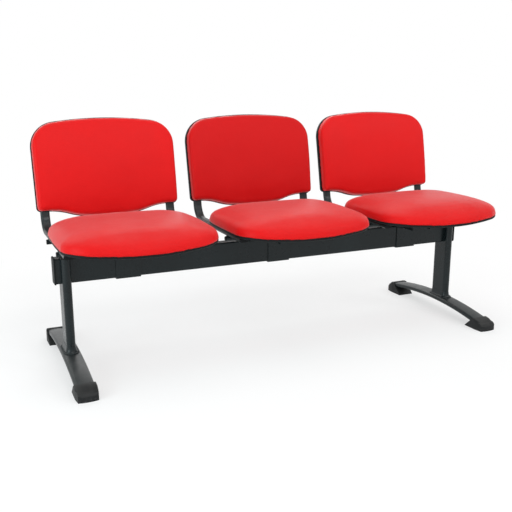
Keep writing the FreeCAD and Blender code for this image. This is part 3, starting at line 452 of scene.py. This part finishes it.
coated = add(drops_along, "GeometryNodeSetMaterial", {"Geometry": real.outputs[0],
             "Material": given.outputs["Finish"]})
drops_along.links.new(coated.outputs[0], result.inputs["Geometry"])


def kept_aside(name, mesh):
    """An object that only serves node trees as a pattern, not linked to the scene."""
    return bpy.data.objects.new(name, mesh)


bm = bmesh.new()
bmesh.ops.create_uvsphere(bm, u_segments=10, v_segments=6, radius=0.0034)
for vert in bm.verts:
    vert.co.z *= 0.62
drop_mesh = bpy.data.meshes.new("weld_drop")
bm.to_mesh(drop_mesh)
bm.free()
weld_drop = kept_aside("weld_drop", drop_mesh)

UPRIGHT_Y = -0.003
UPRIGHT_HALF_FLAT = 0.028
BEAD_RADIUS = 0.0212
BEAD_Z = 0.0618
for leg, x in LEG_X.items():
    ring = []
    for k in range(97):
        a = math.tau * k / 96
        run = UPRIGHT_HALF_FLAT if abs(math.sin(a)) > 1e-9 else 0.0
        px = BEAD_RADIUS * math.cos(a)
        py = math.copysign(run, math.sin(a)) + BEAD_RADIUS * math.sin(a)
        ring.append((x + px, py + UPRIGHT_Y, BEAD_Z))
    ripple = grown("weld_ripple_" + leg, drops_along, line_mesh("ring", [ring]),
                   drop=weld_drop, spacing=0.0026, size=1.0, seed=3, finish=powder_coat)
    smooth(ripple, 60)
    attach(ripple, "root")
paint(powder_coat, "foot_weld_left", "foot_weld_right")


# Glides: blunt black shoes pushed over the ends of the feet, moulded in a
# tough plastic that is scuffed and greyed close to the floor.
shoe_plastic, tree, shader, where = finish("scuffed shoe plastic")
shader.inputs["Specular IOR Level"].default_value = 0.24
grain = place_effect(tree, moulded_grain, where, Scale=700.0)
worn = place_effect(tree, edge_wear, where, Width=0.003, Amount=0.7)
dusty = place_effect(tree, dust, where, Amount=0.08)
height = add(tree, "ShaderNodeSeparateXYZ", {0: where})
low_down = ranged(tree, height.outputs["Z"], 1.0, 0.0, 0.0, 0.02)
scrapes = add(tree, "ShaderNodeTexNoise", {"Vector": where, "Scale": 160.0, "Detail": 6.0,
              "Roughness": 0.75})
scraped = ranged(tree, scrapes.outputs["Fac"], 0.0, 1.0, 0.5, 0.7)
scuffs = add(tree, "ShaderNodeMath", {0: low_down, 1: scraped}, operation="MULTIPLY")
colour = blended(tree, grain.outputs["Tone"], (0.0060, 0.0068, 0.0074, 1),
                 (0.0120, 0.0130, 0.0138, 1))
colour = blended(tree, scuffs.outputs[0], colour, (0.05, 0.05, 0.05, 1))
colour = blended(tree, worn.outputs["Mask"], colour, (0.045, 0.047, 0.048, 1))
colour = blended(tree, dusty.outputs["Mask"], colour, (0.30, 0.29, 0.27, 1))
tree.links.new(colour, shader.inputs["Base Color"])
tree.links.new(ranged(tree, grain.outputs["Tone"], 0.45, 0.65), shader.inputs["Roughness"])
bump = add(tree, "ShaderNodeBump", {"Height": grain.outputs["Height"], "Strength": 0.35,
           "Distance": 0.0002})
tree.links.new(bump.outputs[0], shader.inputs["Normal"])
paint(shoe_plastic, "foot_glide_left_front", "foot_glide_left_rear",
      "foot_glide_right_front", "foot_glide_right_rear")


# Leg screws: two steel button-head screws with a hexagon socket hold each
# upright to the beam from the rear, each over a saddle washer, into a nut.
def ring_radius(shape, radius, angle):
    """Radius of a ring at an angle: round, hexagon across flats, or cross."""
    if shape == "hexagon":
        return radius / math.cos((angle + math.pi / 6) % (math.pi / 3) - math.pi / 6)
    if shape == "cross":
        c, s = abs(math.cos(angle)), abs(math.sin(angle))
        arm = radius * 0.27
        bars = [min(radius / max(a, 1e-9), arm / max(b, 1e-9)) for a, b in ((c, s), (s, c))]
        return max(bars)
    return radius


def turned(name, rings, segments=48):
    """A closed mesh from rings of (shape, radius, height), ends filled."""
    bm = bmesh.new()
    levels = []
    for shape, radius, height in rings:
        levels.append([bm.verts.new((math.cos(a) * ring_radius(shape, radius, a),
                                     math.sin(a) * ring_radius(shape, radius, a), height))
                       for a in (math.tau * (k + 0.5) / segments for k in range(segments))])
    for lower, upper in zip(levels, levels[1:]):
        for k in range(segments):
            n = (k + 1) % segments
            bm.faces.new((lower[k], lower[n], upper[n], upper[k]))
    bm.faces.new(list(reversed(levels[0])))
    bm.faces.new(levels[-1])
    bmesh.ops.recalc_face_normals(bm, faces=bm.faces)
    mesh = bpy.data.meshes.new(name)
    bm.to_mesh(mesh)
    bm.free()
    return mesh


button_screw = kept_aside("button_screw", turned("button_screw", [
    ("round", 0.0040, -0.0330), ("round", 0.0040, 0.0), ("round", 0.0068, 0.0),
    ("round", 0.0070, 0.0004), ("round", 0.0067, 0.0017), ("round", 0.0058, 0.0030),
    ("round", 0.0045, 0.0040), ("round", 0.0034, 0.0044), ("hexagon", 0.0026, 0.0043),
    ("hexagon", 0.0025, 0.0038), ("hexagon", 0.0025, 0.0016), ("round", 0.0008, 0.0009)]))

set_out, given, result = geometry_tree("set out fasteners", {
    "Fastener": "object", "Tilt": (0.0, 0.0, 0.0), "Seed": 1, "Finish": "material"})
pattern = add(set_out, "GeometryNodeObjectInfo", {"Object": given.outputs["Fastener"]})
spin = add(set_out, "FunctionNodeRandomValue", {"Min": (0.0, 0.0, 0.0),
           "Max": (0.0, 0.0, math.tau), "Seed": given.outputs["Seed"]},
           data_type="FLOAT_VECTOR")
placed = add(set_out, "GeometryNodeInstanceOnPoints", {"Points": given.outputs["Geometry"],
             "Instance": pattern.outputs["Geometry"], "Rotation": given.outputs["Tilt"]})
driven = add(set_out, "GeometryNodeRotateInstances", {"Instances": placed.outputs[0],
             "Rotation": spin.outputs[0], "Local Space": True})
real = add(set_out, "GeometryNodeRealizeInstances", {0: driven.outputs[0]})
coated = add(set_out, "GeometryNodeSetMaterial", {"Geometry": real.outputs[0],
             "Material": given.outputs["Finish"]})
set_out.links.new(coated.outputs[0], result.inputs["Geometry"])


def metal_finish(name, dark, light, roughness):
    """Plated or blackened steel with a faint turned grain and small stains."""
    material, tree, shader, where = finish(name)
    shader.inputs["Metallic"].default_value = 1.0
    blotch = add(tree, "ShaderNodeTexNoise", {"Vector": where, "Scale": 240.0,
                 "Detail": 5.0, "Roughness": 0.7})
    tree.links.new(blended(tree, blotch.outputs["Fac"], dark, light),
                   shader.inputs["Base Color"])
    tree.links.new(ranged(tree, blotch.outputs["Fac"], roughness - 0.08, roughness + 0.14,
                          0.3, 0.7), shader.inputs["Roughness"])
    fine = add(tree, "ShaderNodeTexNoise", {"Vector": where, "Scale": 2600.0, "Detail": 2.0})
    bump = add(tree, "ShaderNodeBump", {"Height": fine.outputs["Fac"], "Strength": 0.2,
               "Distance": 0.00005})
    tree.links.new(bump.outputs[0], shader.inputs["Normal"])
    return material


black_steel = metal_finish("blackened steel", (0.030, 0.030, 0.032, 1),
                           (0.075, 0.075, 0.078, 1), 0.36)
zinc = metal_finish("zinc plated steel", (0.40, 0.42, 0.43, 1), (0.62, 0.63, 0.62, 1), 0.30)
spots = [(x, 0.041, z) for x in LEG_X.values() for z in (0.300, 0.344)]
leg_screws = grown("leg_button_screws", set_out, line_mesh("spots", [[s] for s in spots]),
                   fastener=button_screw, tilt=(-math.pi / 2, 0.0, 0.0), seed=4,
                   finish=black_steel)
smooth(leg_screws, 35)
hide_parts("leg_screws")
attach(leg_screws, "root")
paint(black_steel, "leg_screw_washers")
paint(zinc, "leg_nuts")


# Carriers and saddles: pressed from 3 mm steel sheet. A carrier stands on the
# beam under each seat, and the saddle is drawn up round the beam below it.
SEAT_X = {"left": -0.53, "middle": 0.0, "right": 0.53}
paint(powder_coat, *["carrier_" + s for s in SEAT_X], *["clamp_saddle_" + s for s in SEAT_X])


# Clamp bolts: four black M8 hexagon bolts at each seat pull the saddle's ears
# up to the carrier, with zinc plated nuts. The thread shows above the nuts.
def with_thread(mesh, radius, pitch, low, high):
    """Adds a helical ridge round a shank between two heights."""
    bm = bmesh.new()
    bm.from_mesh(mesh)
    turns = (high - low) / pitch
    count = int(turns * 24)
    rows = []
    for k in range(count + 1):
        a = math.tau * k / 24
        z = low + pitch * k / 24
        rows.append([bm.verts.new((r * math.cos(a), r * math.sin(a), z + dz))
                     for r, dz in ((radius - 0.0002, -pitch * 0.42), (radius + 0.0003, 0.0),
                                   (radius - 0.0002, pitch * 0.42))])
    for near, far in zip(rows, rows[1:]):
        for k in (0, 1):
            bm.faces.new((near[k], far[k], far[k + 1], near[k + 1]))
        bm.faces.new((near[2], far[2], far[0], near[0]))
    bm.faces.new(rows[0])
    bm.faces.new(list(reversed(rows[-1])))
    bmesh.ops.recalc_face_normals(bm, faces=bm.faces)
    bm.to_mesh(mesh)
    bm.free()
    return mesh


hex_bolt = kept_aside("hex_bolt", with_thread(turned("hex_bolt", [
    ("round", 0.0058, -0.0053), ("hexagon", 0.0062, -0.0049), ("hexagon", 0.0065, -0.0044),
    ("hexagon", 0.0065, -0.0003), ("round", 0.0062, 0.0), ("round", 0.0037, 0.0),
    ("round", 0.0037, 0.0370), ("round", 0.0030, 0.0380)]), 0.0037, 0.00125, 0.0180, 0.0370))
spots = [(x + dx, dy, 0.359) for x in SEAT_X.values() for dx in (-0.022, 0.022)
         for dy in (-0.038, 0.038)]
bolts = grown("clamp_hex_bolts", set_out, line_mesh("spots", [[s] for s in spots]),
              fastener=hex_bolt, seed=7, finish=black_steel)
smooth(bolts, 30)
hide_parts("clamp_bolts")
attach(bolts, "root")

hex_nut = kept_aside("hex_nut", turned("hex_nut", [
    ("round", 0.0041, 0.0), ("round", 0.0060, 0.0), ("hexagon", 0.0065, 0.0007),
    ("hexagon", 0.0065, 0.0058), ("round", 0.0060, 0.0065), ("round", 0.0041, 0.0065)]))
spots = [(x, y, 0.388) for x, y, _ in spots]
nuts = grown("clamp_hex_nuts", set_out, line_mesh("spots", [[s] for s in spots]),
             fastener=hex_nut, seed=9, finish=zinc)
smooth(nuts, 30)
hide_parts("clamp_nuts")
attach(nuts, "root")


# Cross tubes: two 16 mm round tubes under each seat carry the side tubes and
# are welded to them and to the carrier. Black plugs close their ends.
paint(powder_coat, *["cross_tube_front_" + s for s in SEAT_X],
      *["cross_tube_rear_" + s for s in SEAT_X])
paint(moulded_black, "cross_tube_plugs", "side_tube_plugs")
SIDE_X = 0.2135
for seat, x in SEAT_X.items():
    beads = []
    for y in (-0.105, 0.080):
        for edge in (-0.0052, 0.0052):
            for middle in (-SIDE_X, SIDE_X):
                beads.append([(x + middle - 0.012, y + edge, 0.4028),
                              (x + middle + 0.012, y + edge, 0.4028)])
            beads.append([(x - 0.030, y + edge, 0.3892), (x + 0.030, y + edge, 0.3892)])
    welds = grown("frame_welds_" + seat, drops_along, line_mesh("beads", beads),
                  drop=weld_drop, spacing=0.0024, size=0.62, seed=11, finish=powder_coat)
    smooth(welds, 60)
    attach(welds, "root")


# Side tubes: flat oval tube, level under the seat and bent up into the back.
# They come from the same sweep as the feet, along three points and one bend.
SIDE_TUBE_Z = 0.4115
lean = math.radians(11.0)
back_up = Vector((0.0, math.sin(lean), math.cos(lean)))
for seat, x in SEAT_X.items():
    for mark, offset in (("a", -SIDE_X), ("b", SIDE_X)):
        corner = Vector((x + offset, 0.19574, SIDE_TUBE_Z))
        run = [Vector((x + offset, -0.215, SIDE_TUBE_Z)), corner, corner + back_up * 0.2285]
        tube = grown("bent_tube_%s_%s" % (mark, seat), oval_tube, line_mesh("run", [run]),
                     width=0.030, thickness=0.015, edge_radius=0.0075, crown=0.0,
                     bend_radius=0.055, finish=powder_coat)
        smooth(tube)
        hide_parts("side_tube_%s_%s" % (mark, seat))
        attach(tube, "root")


# Seat covers and boards: a shallow black moulding closes the underside of each
# seat. The plywood board above it carries the foam.
birch, tree, shader, where = finish("birch plywood")
stretched = add(tree, "ShaderNodeMapping", {"Vector": where, "Scale": (3.0, 40.0, 400.0)})
fibre = add(tree, "ShaderNodeTexNoise", {"Vector": stretched.outputs[0], "Scale": 6.0,
            "Detail": 7.0, "Roughness": 0.65, "Distortion": 0.3})
wood = blended(tree, fibre.outputs["Fac"], (0.33, 0.20, 0.10, 1), (0.62, 0.45, 0.27, 1))
tree.links.new(wood, shader.inputs["Base Color"])
tree.links.new(ranged(tree, fibre.outputs["Fac"], 0.55, 0.75), shader.inputs["Roughness"])
bump = add(tree, "ShaderNodeBump", {"Height": fibre.outputs["Fac"], "Strength": 0.2,
           "Distance": 0.0003})
tree.links.new(bump.outputs[0], shader.inputs["Normal"])
paint(birch, *["seat_board_" + s for s in SEAT_X], *["back_panel_" + s for s in SEAT_X])
paint(moulded_black, *["seat_cover_" + s for s in SEAT_X])


# Seat screws: panhead screws with a cross recess, driven from below through
# the side tubes and the cover into the board.
pan_screw_rings = [
    ("round", 0.0030, -0.0255), ("round", 0.0030, 0.0), ("round", 0.0057, 0.0),
    ("round", 0.0060, 0.0004), ("round", 0.0059, 0.0014), ("round", 0.0053, 0.0025),
    ("round", 0.0043, 0.0032), ("round", 0.0034, 0.0035), ("cross", 0.0030, 0.0034),
    ("cross", 0.0027, 0.0022), ("cross", 0.0016, 0.0012)]
pan_screw = kept_aside("pan_screw", turned("pan_screw", pan_screw_rings))
spots = [(x + dx, y, 0.404) for x in SEAT_X.values() for dx in (-SIDE_X, SIDE_X)
         for y in (-0.190, 0.060)]
seat_screws = grown("seat_pan_screws", set_out, line_mesh("spots", [[s] for s in spots]),
                    fastener=pan_screw, tilt=(math.pi, 0.0, 0.0), seed=5, finish=black_steel)
smooth(seat_screws, 35)
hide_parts("seat_screws")
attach(seat_screws, "root")


# Seat cushions: moulded foam on the board under one piece of red leatherette,
# drawn over the edge and stapled out of sight, so that no seam shows.
hide, given, result = effect("leatherette grain", {"Vector": None, "Scale": 620.0},
                             ["Height", "Valley", "Tone"])
warp = add(hide, "ShaderNodeTexNoise", {"Vector": given.outputs["Vector"], "Scale": 260.0,
           "Detail": 2.0})
lean_in = add(hide, "ShaderNodeVectorMath", {0: warp.outputs["Color"],
              "Scale": 0.0011}, operation="SCALE")
crooked = add(hide, "ShaderNodeVectorMath", {0: given.outputs["Vector"],
              1: lean_in.outputs[0]}, operation="ADD")
pebbles = add(hide, "ShaderNodeTexVoronoi", {"Vector": crooked.outputs[0],
              "Scale": given.outputs["Scale"]}, feature="DISTANCE_TO_EDGE")
domes = add(hide, "ShaderNodeMapRange", {"Value": pebbles.outputs["Distance"],
            "From Max": 0.22}, interpolation_type="SMOOTHSTEP")
pores = add(hide, "ShaderNodeTexNoise", {"Vector": given.outputs["Vector"],
            "Scale": 2400.0, "Detail": 2.0})
pored = add(hide, "ShaderNodeMath", {0: pores.outputs["Fac"], 1: 0.25, 2: domes.outputs[0]},
            operation="MULTIPLY_ADD")
valley = add(hide, "ShaderNodeMath", {0: 1.0, 1: domes.outputs[0]}, operation="SUBTRACT")
tone = add(hide, "ShaderNodeTexNoise", {"Vector": given.outputs["Vector"], "Scale": 7.0,
           "Detail": 5.0, "Roughness": 0.6, "Distortion": 0.4})
hide.links.new(pored.outputs[0], result.inputs["Height"])
hide.links.new(valley.outputs[0], result.inputs["Valley"])
hide.links.new(tone.outputs["Fac"], result.inputs["Tone"])


def red_leatherette(name, deep_red, bright_red):
    """The red covering, in the reds given: fine pebbled grain with painted shade in its
    valleys, soft gloss, a pale nap.
    """
    material, tree, shader, where = finish(name)
    grain = place_effect(tree, hide, where)
    dusty = place_effect(tree, dust, where, Amount=0.05, Scale=12.0)
    colour = blended(tree, grain.outputs["Tone"], deep_red, bright_red)
    # The grain's valleys are painted a darker red: painted shade in the hollows of the grain.
    deep = add(tree, "ShaderNodeMath", {0: grain.outputs["Valley"], 1: 0.3},
               operation="MULTIPLY")
    colour = blended(tree, deep.outputs[0], colour, (0.40, 0.004, 0.006, 1))
    colour = blended(tree, dusty.outputs["Mask"], colour, (0.78, 0.62, 0.58, 1))
    tree.links.new(colour, shader.inputs["Base Color"])
    rough = ranged(tree, grain.outputs["Tone"], 0.34, 0.43, 0.3, 0.7)
    rough = summed(tree, rough, ranged(tree, grain.outputs["Valley"], 0.0, 0.08))
    tree.links.new(rough, shader.inputs["Roughness"])
    shader.inputs["Specular IOR Level"].default_value = 0.12
    shader.inputs["Sheen Weight"].default_value = 0.26
    shader.inputs["Sheen Roughness"].default_value = 0.30
    shader.inputs["Sheen Tint"].default_value = (1.0, 0.86, 0.86, 1.0)
    swells = add(tree, "ShaderNodeTexNoise", {"Vector": where, "Scale": 26.0, "Detail": 2.0})
    bump_low = add(tree, "ShaderNodeBump", {"Height": swells.outputs["Fac"], "Strength": 0.25,
                   "Distance": 0.004})
    bump = add(tree, "ShaderNodeBump", {"Height": grain.outputs["Height"], "Strength": 0.35,
               "Distance": 0.00018, "Normal": bump_low.outputs[0]})
    tree.links.new(bump.outputs[0], shader.inputs["Normal"])
    return material


leatherette = red_leatherette("red leatherette", (0.65, 0.0045, 0.0052, 1),
                              (0.77, 0.0085, 0.0090, 1))


def foam_start(name, node):
    """An even mesh of the middle seat's packed foam solid."""
    bm = bmesh.new()
    bm.from_mesh(cad[node].data)
    bmesh.ops.remove_doubles(bm, verts=bm.verts, dist=1e-5)
    bmesh.ops.recalc_face_normals(bm, faces=bm.faces)
    mesh = bpy.data.meshes.new(name)
    bm.to_mesh(mesh)
    bm.free()
    piece = bpy.data.objects.new(name, mesh)
    scene.collection.objects.link(piece)
    remesh = piece.modifiers.new("even", "REMESH")
    remesh.mode = "VOXEL"
    remesh.voxel_size = 0.005
    relax = piece.modifiers.new("relax", "SMOOTH")
    relax.factor = 0.5
    relax.iterations = 4
    return applied(piece)


def applied(piece):
    """Turns a piece's modifiers into plain mesh."""
    bpy.context.view_layer.update()
    seen = piece.evaluated_get(bpy.context.evaluated_depsgraph_get())
    mesh = bpy.data.meshes.new_from_object(seen)
    piece.modifiers.clear()
    piece.data = mesh
    return piece


def points_of(mesh):
    flat = np.empty(len(mesh.vertices) * 3)
    mesh.vertices.foreach_get("co", flat)
    return flat.reshape(-1, 3)


def normals_of(mesh):
    flat = np.empty(len(mesh.vertices) * 3)
    mesh.vertex_normals.foreach_get("vector", flat)
    return flat.reshape(-1, 3)


def set_points(mesh, points):
    mesh.vertices.foreach_set("co", np.ascontiguousarray(points, float).ravel())
    mesh.update()


def evened(mesh, moves, rounds):
    """Spreads each point's move over its neighbours, round after round."""
    pairs = np.empty(len(mesh.edges) * 2, int)
    mesh.edges.foreach_get("vertices", pairs)
    one, other = pairs.reshape(-1, 2).T
    count = len(moves)
    share = np.bincount(one, minlength=count) + np.bincount(other, minlength=count)
    for _ in range(rounds):
        near = [np.bincount(one, moves[other, k], count)
                + np.bincount(other, moves[one, k], count) for k in range(3)]
        moves = 0.5 * moves + 0.5 * np.stack(near, 1) / share[:, None]
    return moves


def upholstered(piece, held, tuck, swell):
    """Lets the cover swell by simulated pressure while its hem is held, then
    evens out the swelling, because the stretched cover lies without creases."""
    free = 1.0 - held
    start = points_of(piece.data) - normals_of(piece.data) * (tuck * free)[:, None]
    set_points(piece.data, start)
    hem = piece.vertex_groups.new(name="hem")
    for index, share in enumerate(held):
        hem.add([index], float(share), "REPLACE")
    cloth = piece.modifiers.new("pressure", "CLOTH")
    cloth.settings.quality = 5
    cloth.settings.mass = 0.3
    cloth.settings.tension_stiffness = 15.0
    cloth.settings.compression_stiffness = 15.0
    cloth.settings.shear_stiffness = 8.0
    cloth.settings.bending_stiffness = 1.5
    cloth.settings.use_pressure = True
    cloth.settings.uniform_pressure_force = 4.0
    cloth.settings.vertex_group_mass = "hem"
    cloth.settings.effector_weights.gravity = 0.0
    cloth.collision_settings.use_collision = False
    cloth.point_cache.frame_start = 1
    cloth.point_cache.frame_end = 20
    for step in range(1, 21):
        scene.frame_set(step)
    seen = piece.evaluated_get(bpy.context.evaluated_depsgraph_get())
    blown = points_of(seen.data)
    piece.modifiers.clear()
    scene.frame_set(1)
    move = blown - start
    length = np.linalg.norm(move, axis=1) + 1e-12
    move *= (swell * np.tanh(length / swell) / length)[:, None]
    move = 0.94 * evened(piece.data, move, 160) + 0.06 * move
    set_points(piece.data, start + move * free[:, None])
    piece.vertex_groups.clear()
    rounder = piece.modifiers.new("rounder", "SUBSURF")
    rounder.levels = rounder.render_levels = 1
    return applied(piece)


def for_each_seat(pattern, name, node, materials, unevenness):
    """One finished cushion for each seat, none quite like the next."""
    for number, (seat, x) in enumerate(SEAT_X.items()):
        mesh = pattern.data.copy()
        points = points_of(mesh)
        outward = normals_of(mesh)
        for index, point in enumerate(points):
            spot = Vector(point) * 9.0 + Vector((17.0 * number, 5.0, 3.0))
            points[index] = point + outward[index] * noise.noise(spot) * unevenness
        points[:, 0] += x
        set_points(mesh, points)
        mesh.polygons.foreach_set("use_smooth", [True] * len(mesh.polygons))
        mesh.materials.clear()
        mesh.materials.append(materials[number])
        piece = bpy.data.objects.new(name + "_" + seat, mesh)
        scene.collection.objects.link(piece)
        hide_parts(node + "_" + seat)
        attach(piece, "root")
    bpy.data.objects.remove(pattern)


# The board's front is bent down, so the foam over it rolls down as well
seat_foam = foam_start("seat_foam", "seat_cushion_middle")
ROLL_START_Y = -0.250
ROLL_RADIUS = 0.160
HEM_BAND_Z = 0.440
points = points_of(seat_foam.data)
ahead = np.clip(ROLL_START_Y - points[:, 1], 0.0, 0.07)
drop = ROLL_RADIUS - np.sqrt(ROLL_RADIUS ** 2 - ahead ** 2)
heights = points[:, 2]
low_share = np.clip((HEM_BAND_Z - heights) / (0.0095 + drop), 0.0, 1.0)
heights = HEM_BAND_Z - low_share * 0.0134 + np.maximum(heights - HEM_BAND_Z, 0.0)
points[:, 2] = heights - drop
set_points(seat_foam.data, points)
held = np.clip((HEM_BAND_Z - 0.001 - heights) / 0.008, 0.0, 1.0)
seat_foam = upholstered(seat_foam, held, 0.0018, 0.0042)
for_each_seat(seat_foam, "seat_pad", "seat_cushion", [leatherette] * 3,
              0.0009)


# Back shells: a black moulding closes the rear of each back, with a narrow rim
# that shows all round as a thin dark line beside the red.
paint(moulded_black, *["back_cover_" + s for s in SEAT_X])


# Back cushions: foam on a curved plywood panel under red leatherette, flatter
# than the seats, with a tight rounded edge that is tucked into the shell.
back_foam = foam_start("back_foam", "back_cushion_middle")
points = points_of(back_foam.data)
BACK_CURVE = 2.6
back_origin = Vector((0.0, 0.2277, 0.470))
forward = Vector((0.0, -math.cos(lean), math.sin(lean)))
depth = (points - np.array(back_origin)) @ np.array(forward)
depth -= BACK_CURVE - np.sqrt(BACK_CURVE ** 2 - points[:, 0] ** 2)
held = np.clip((0.0240 - depth) / 0.007, 0.0, 1.0)
back_foam = upholstered(back_foam, held, 0.0016, 0.0036)
# The middle back gets a darker copy of the red: painted shade, which makes that back look
# darker than the other two.
shaded_middle_back_red = red_leatherette("red leatherette, painted shade", (0.54, 0.0028, 0.0034, 1),
                              (0.63, 0.0058, 0.0064, 1))
for_each_seat(back_foam, "back_pad", "back_cushion", [leatherette, shaded_middle_back_red, leatherette],
              0.0008)


# Back screws: four small panhead screws through each shell and its side tubes
# into the panel, with their heads sunk in round seats.
small_screw = kept_aside("small_screw", turned("small_screw", [
    (shape, radius * 0.833, height * (0.86 if height > 0 else 1.0))
    for shape, radius, height in pan_screw_rings]))
head_depth = BACK_CURVE - math.sqrt(BACK_CURVE ** 2 - SIDE_X ** 2) + 0.001
spots = [back_origin + back_up * v + forward * head_depth + Vector((x + dx, 0.0, 0.0))
         for x in SEAT_X.values() for dx in (-SIDE_X, SIDE_X) for v in (0.045, 0.125)]
back_screws = grown("back_pan_screws", set_out, line_mesh("spots", [[s] for s in spots]),
                    fastener=small_screw, tilt=(-math.pi / 2 - lean, 0.0, 0.0), seed=6,
                    finish=black_steel)
smooth(back_screws, 35)
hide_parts("back_screws")
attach(back_screws, "root")
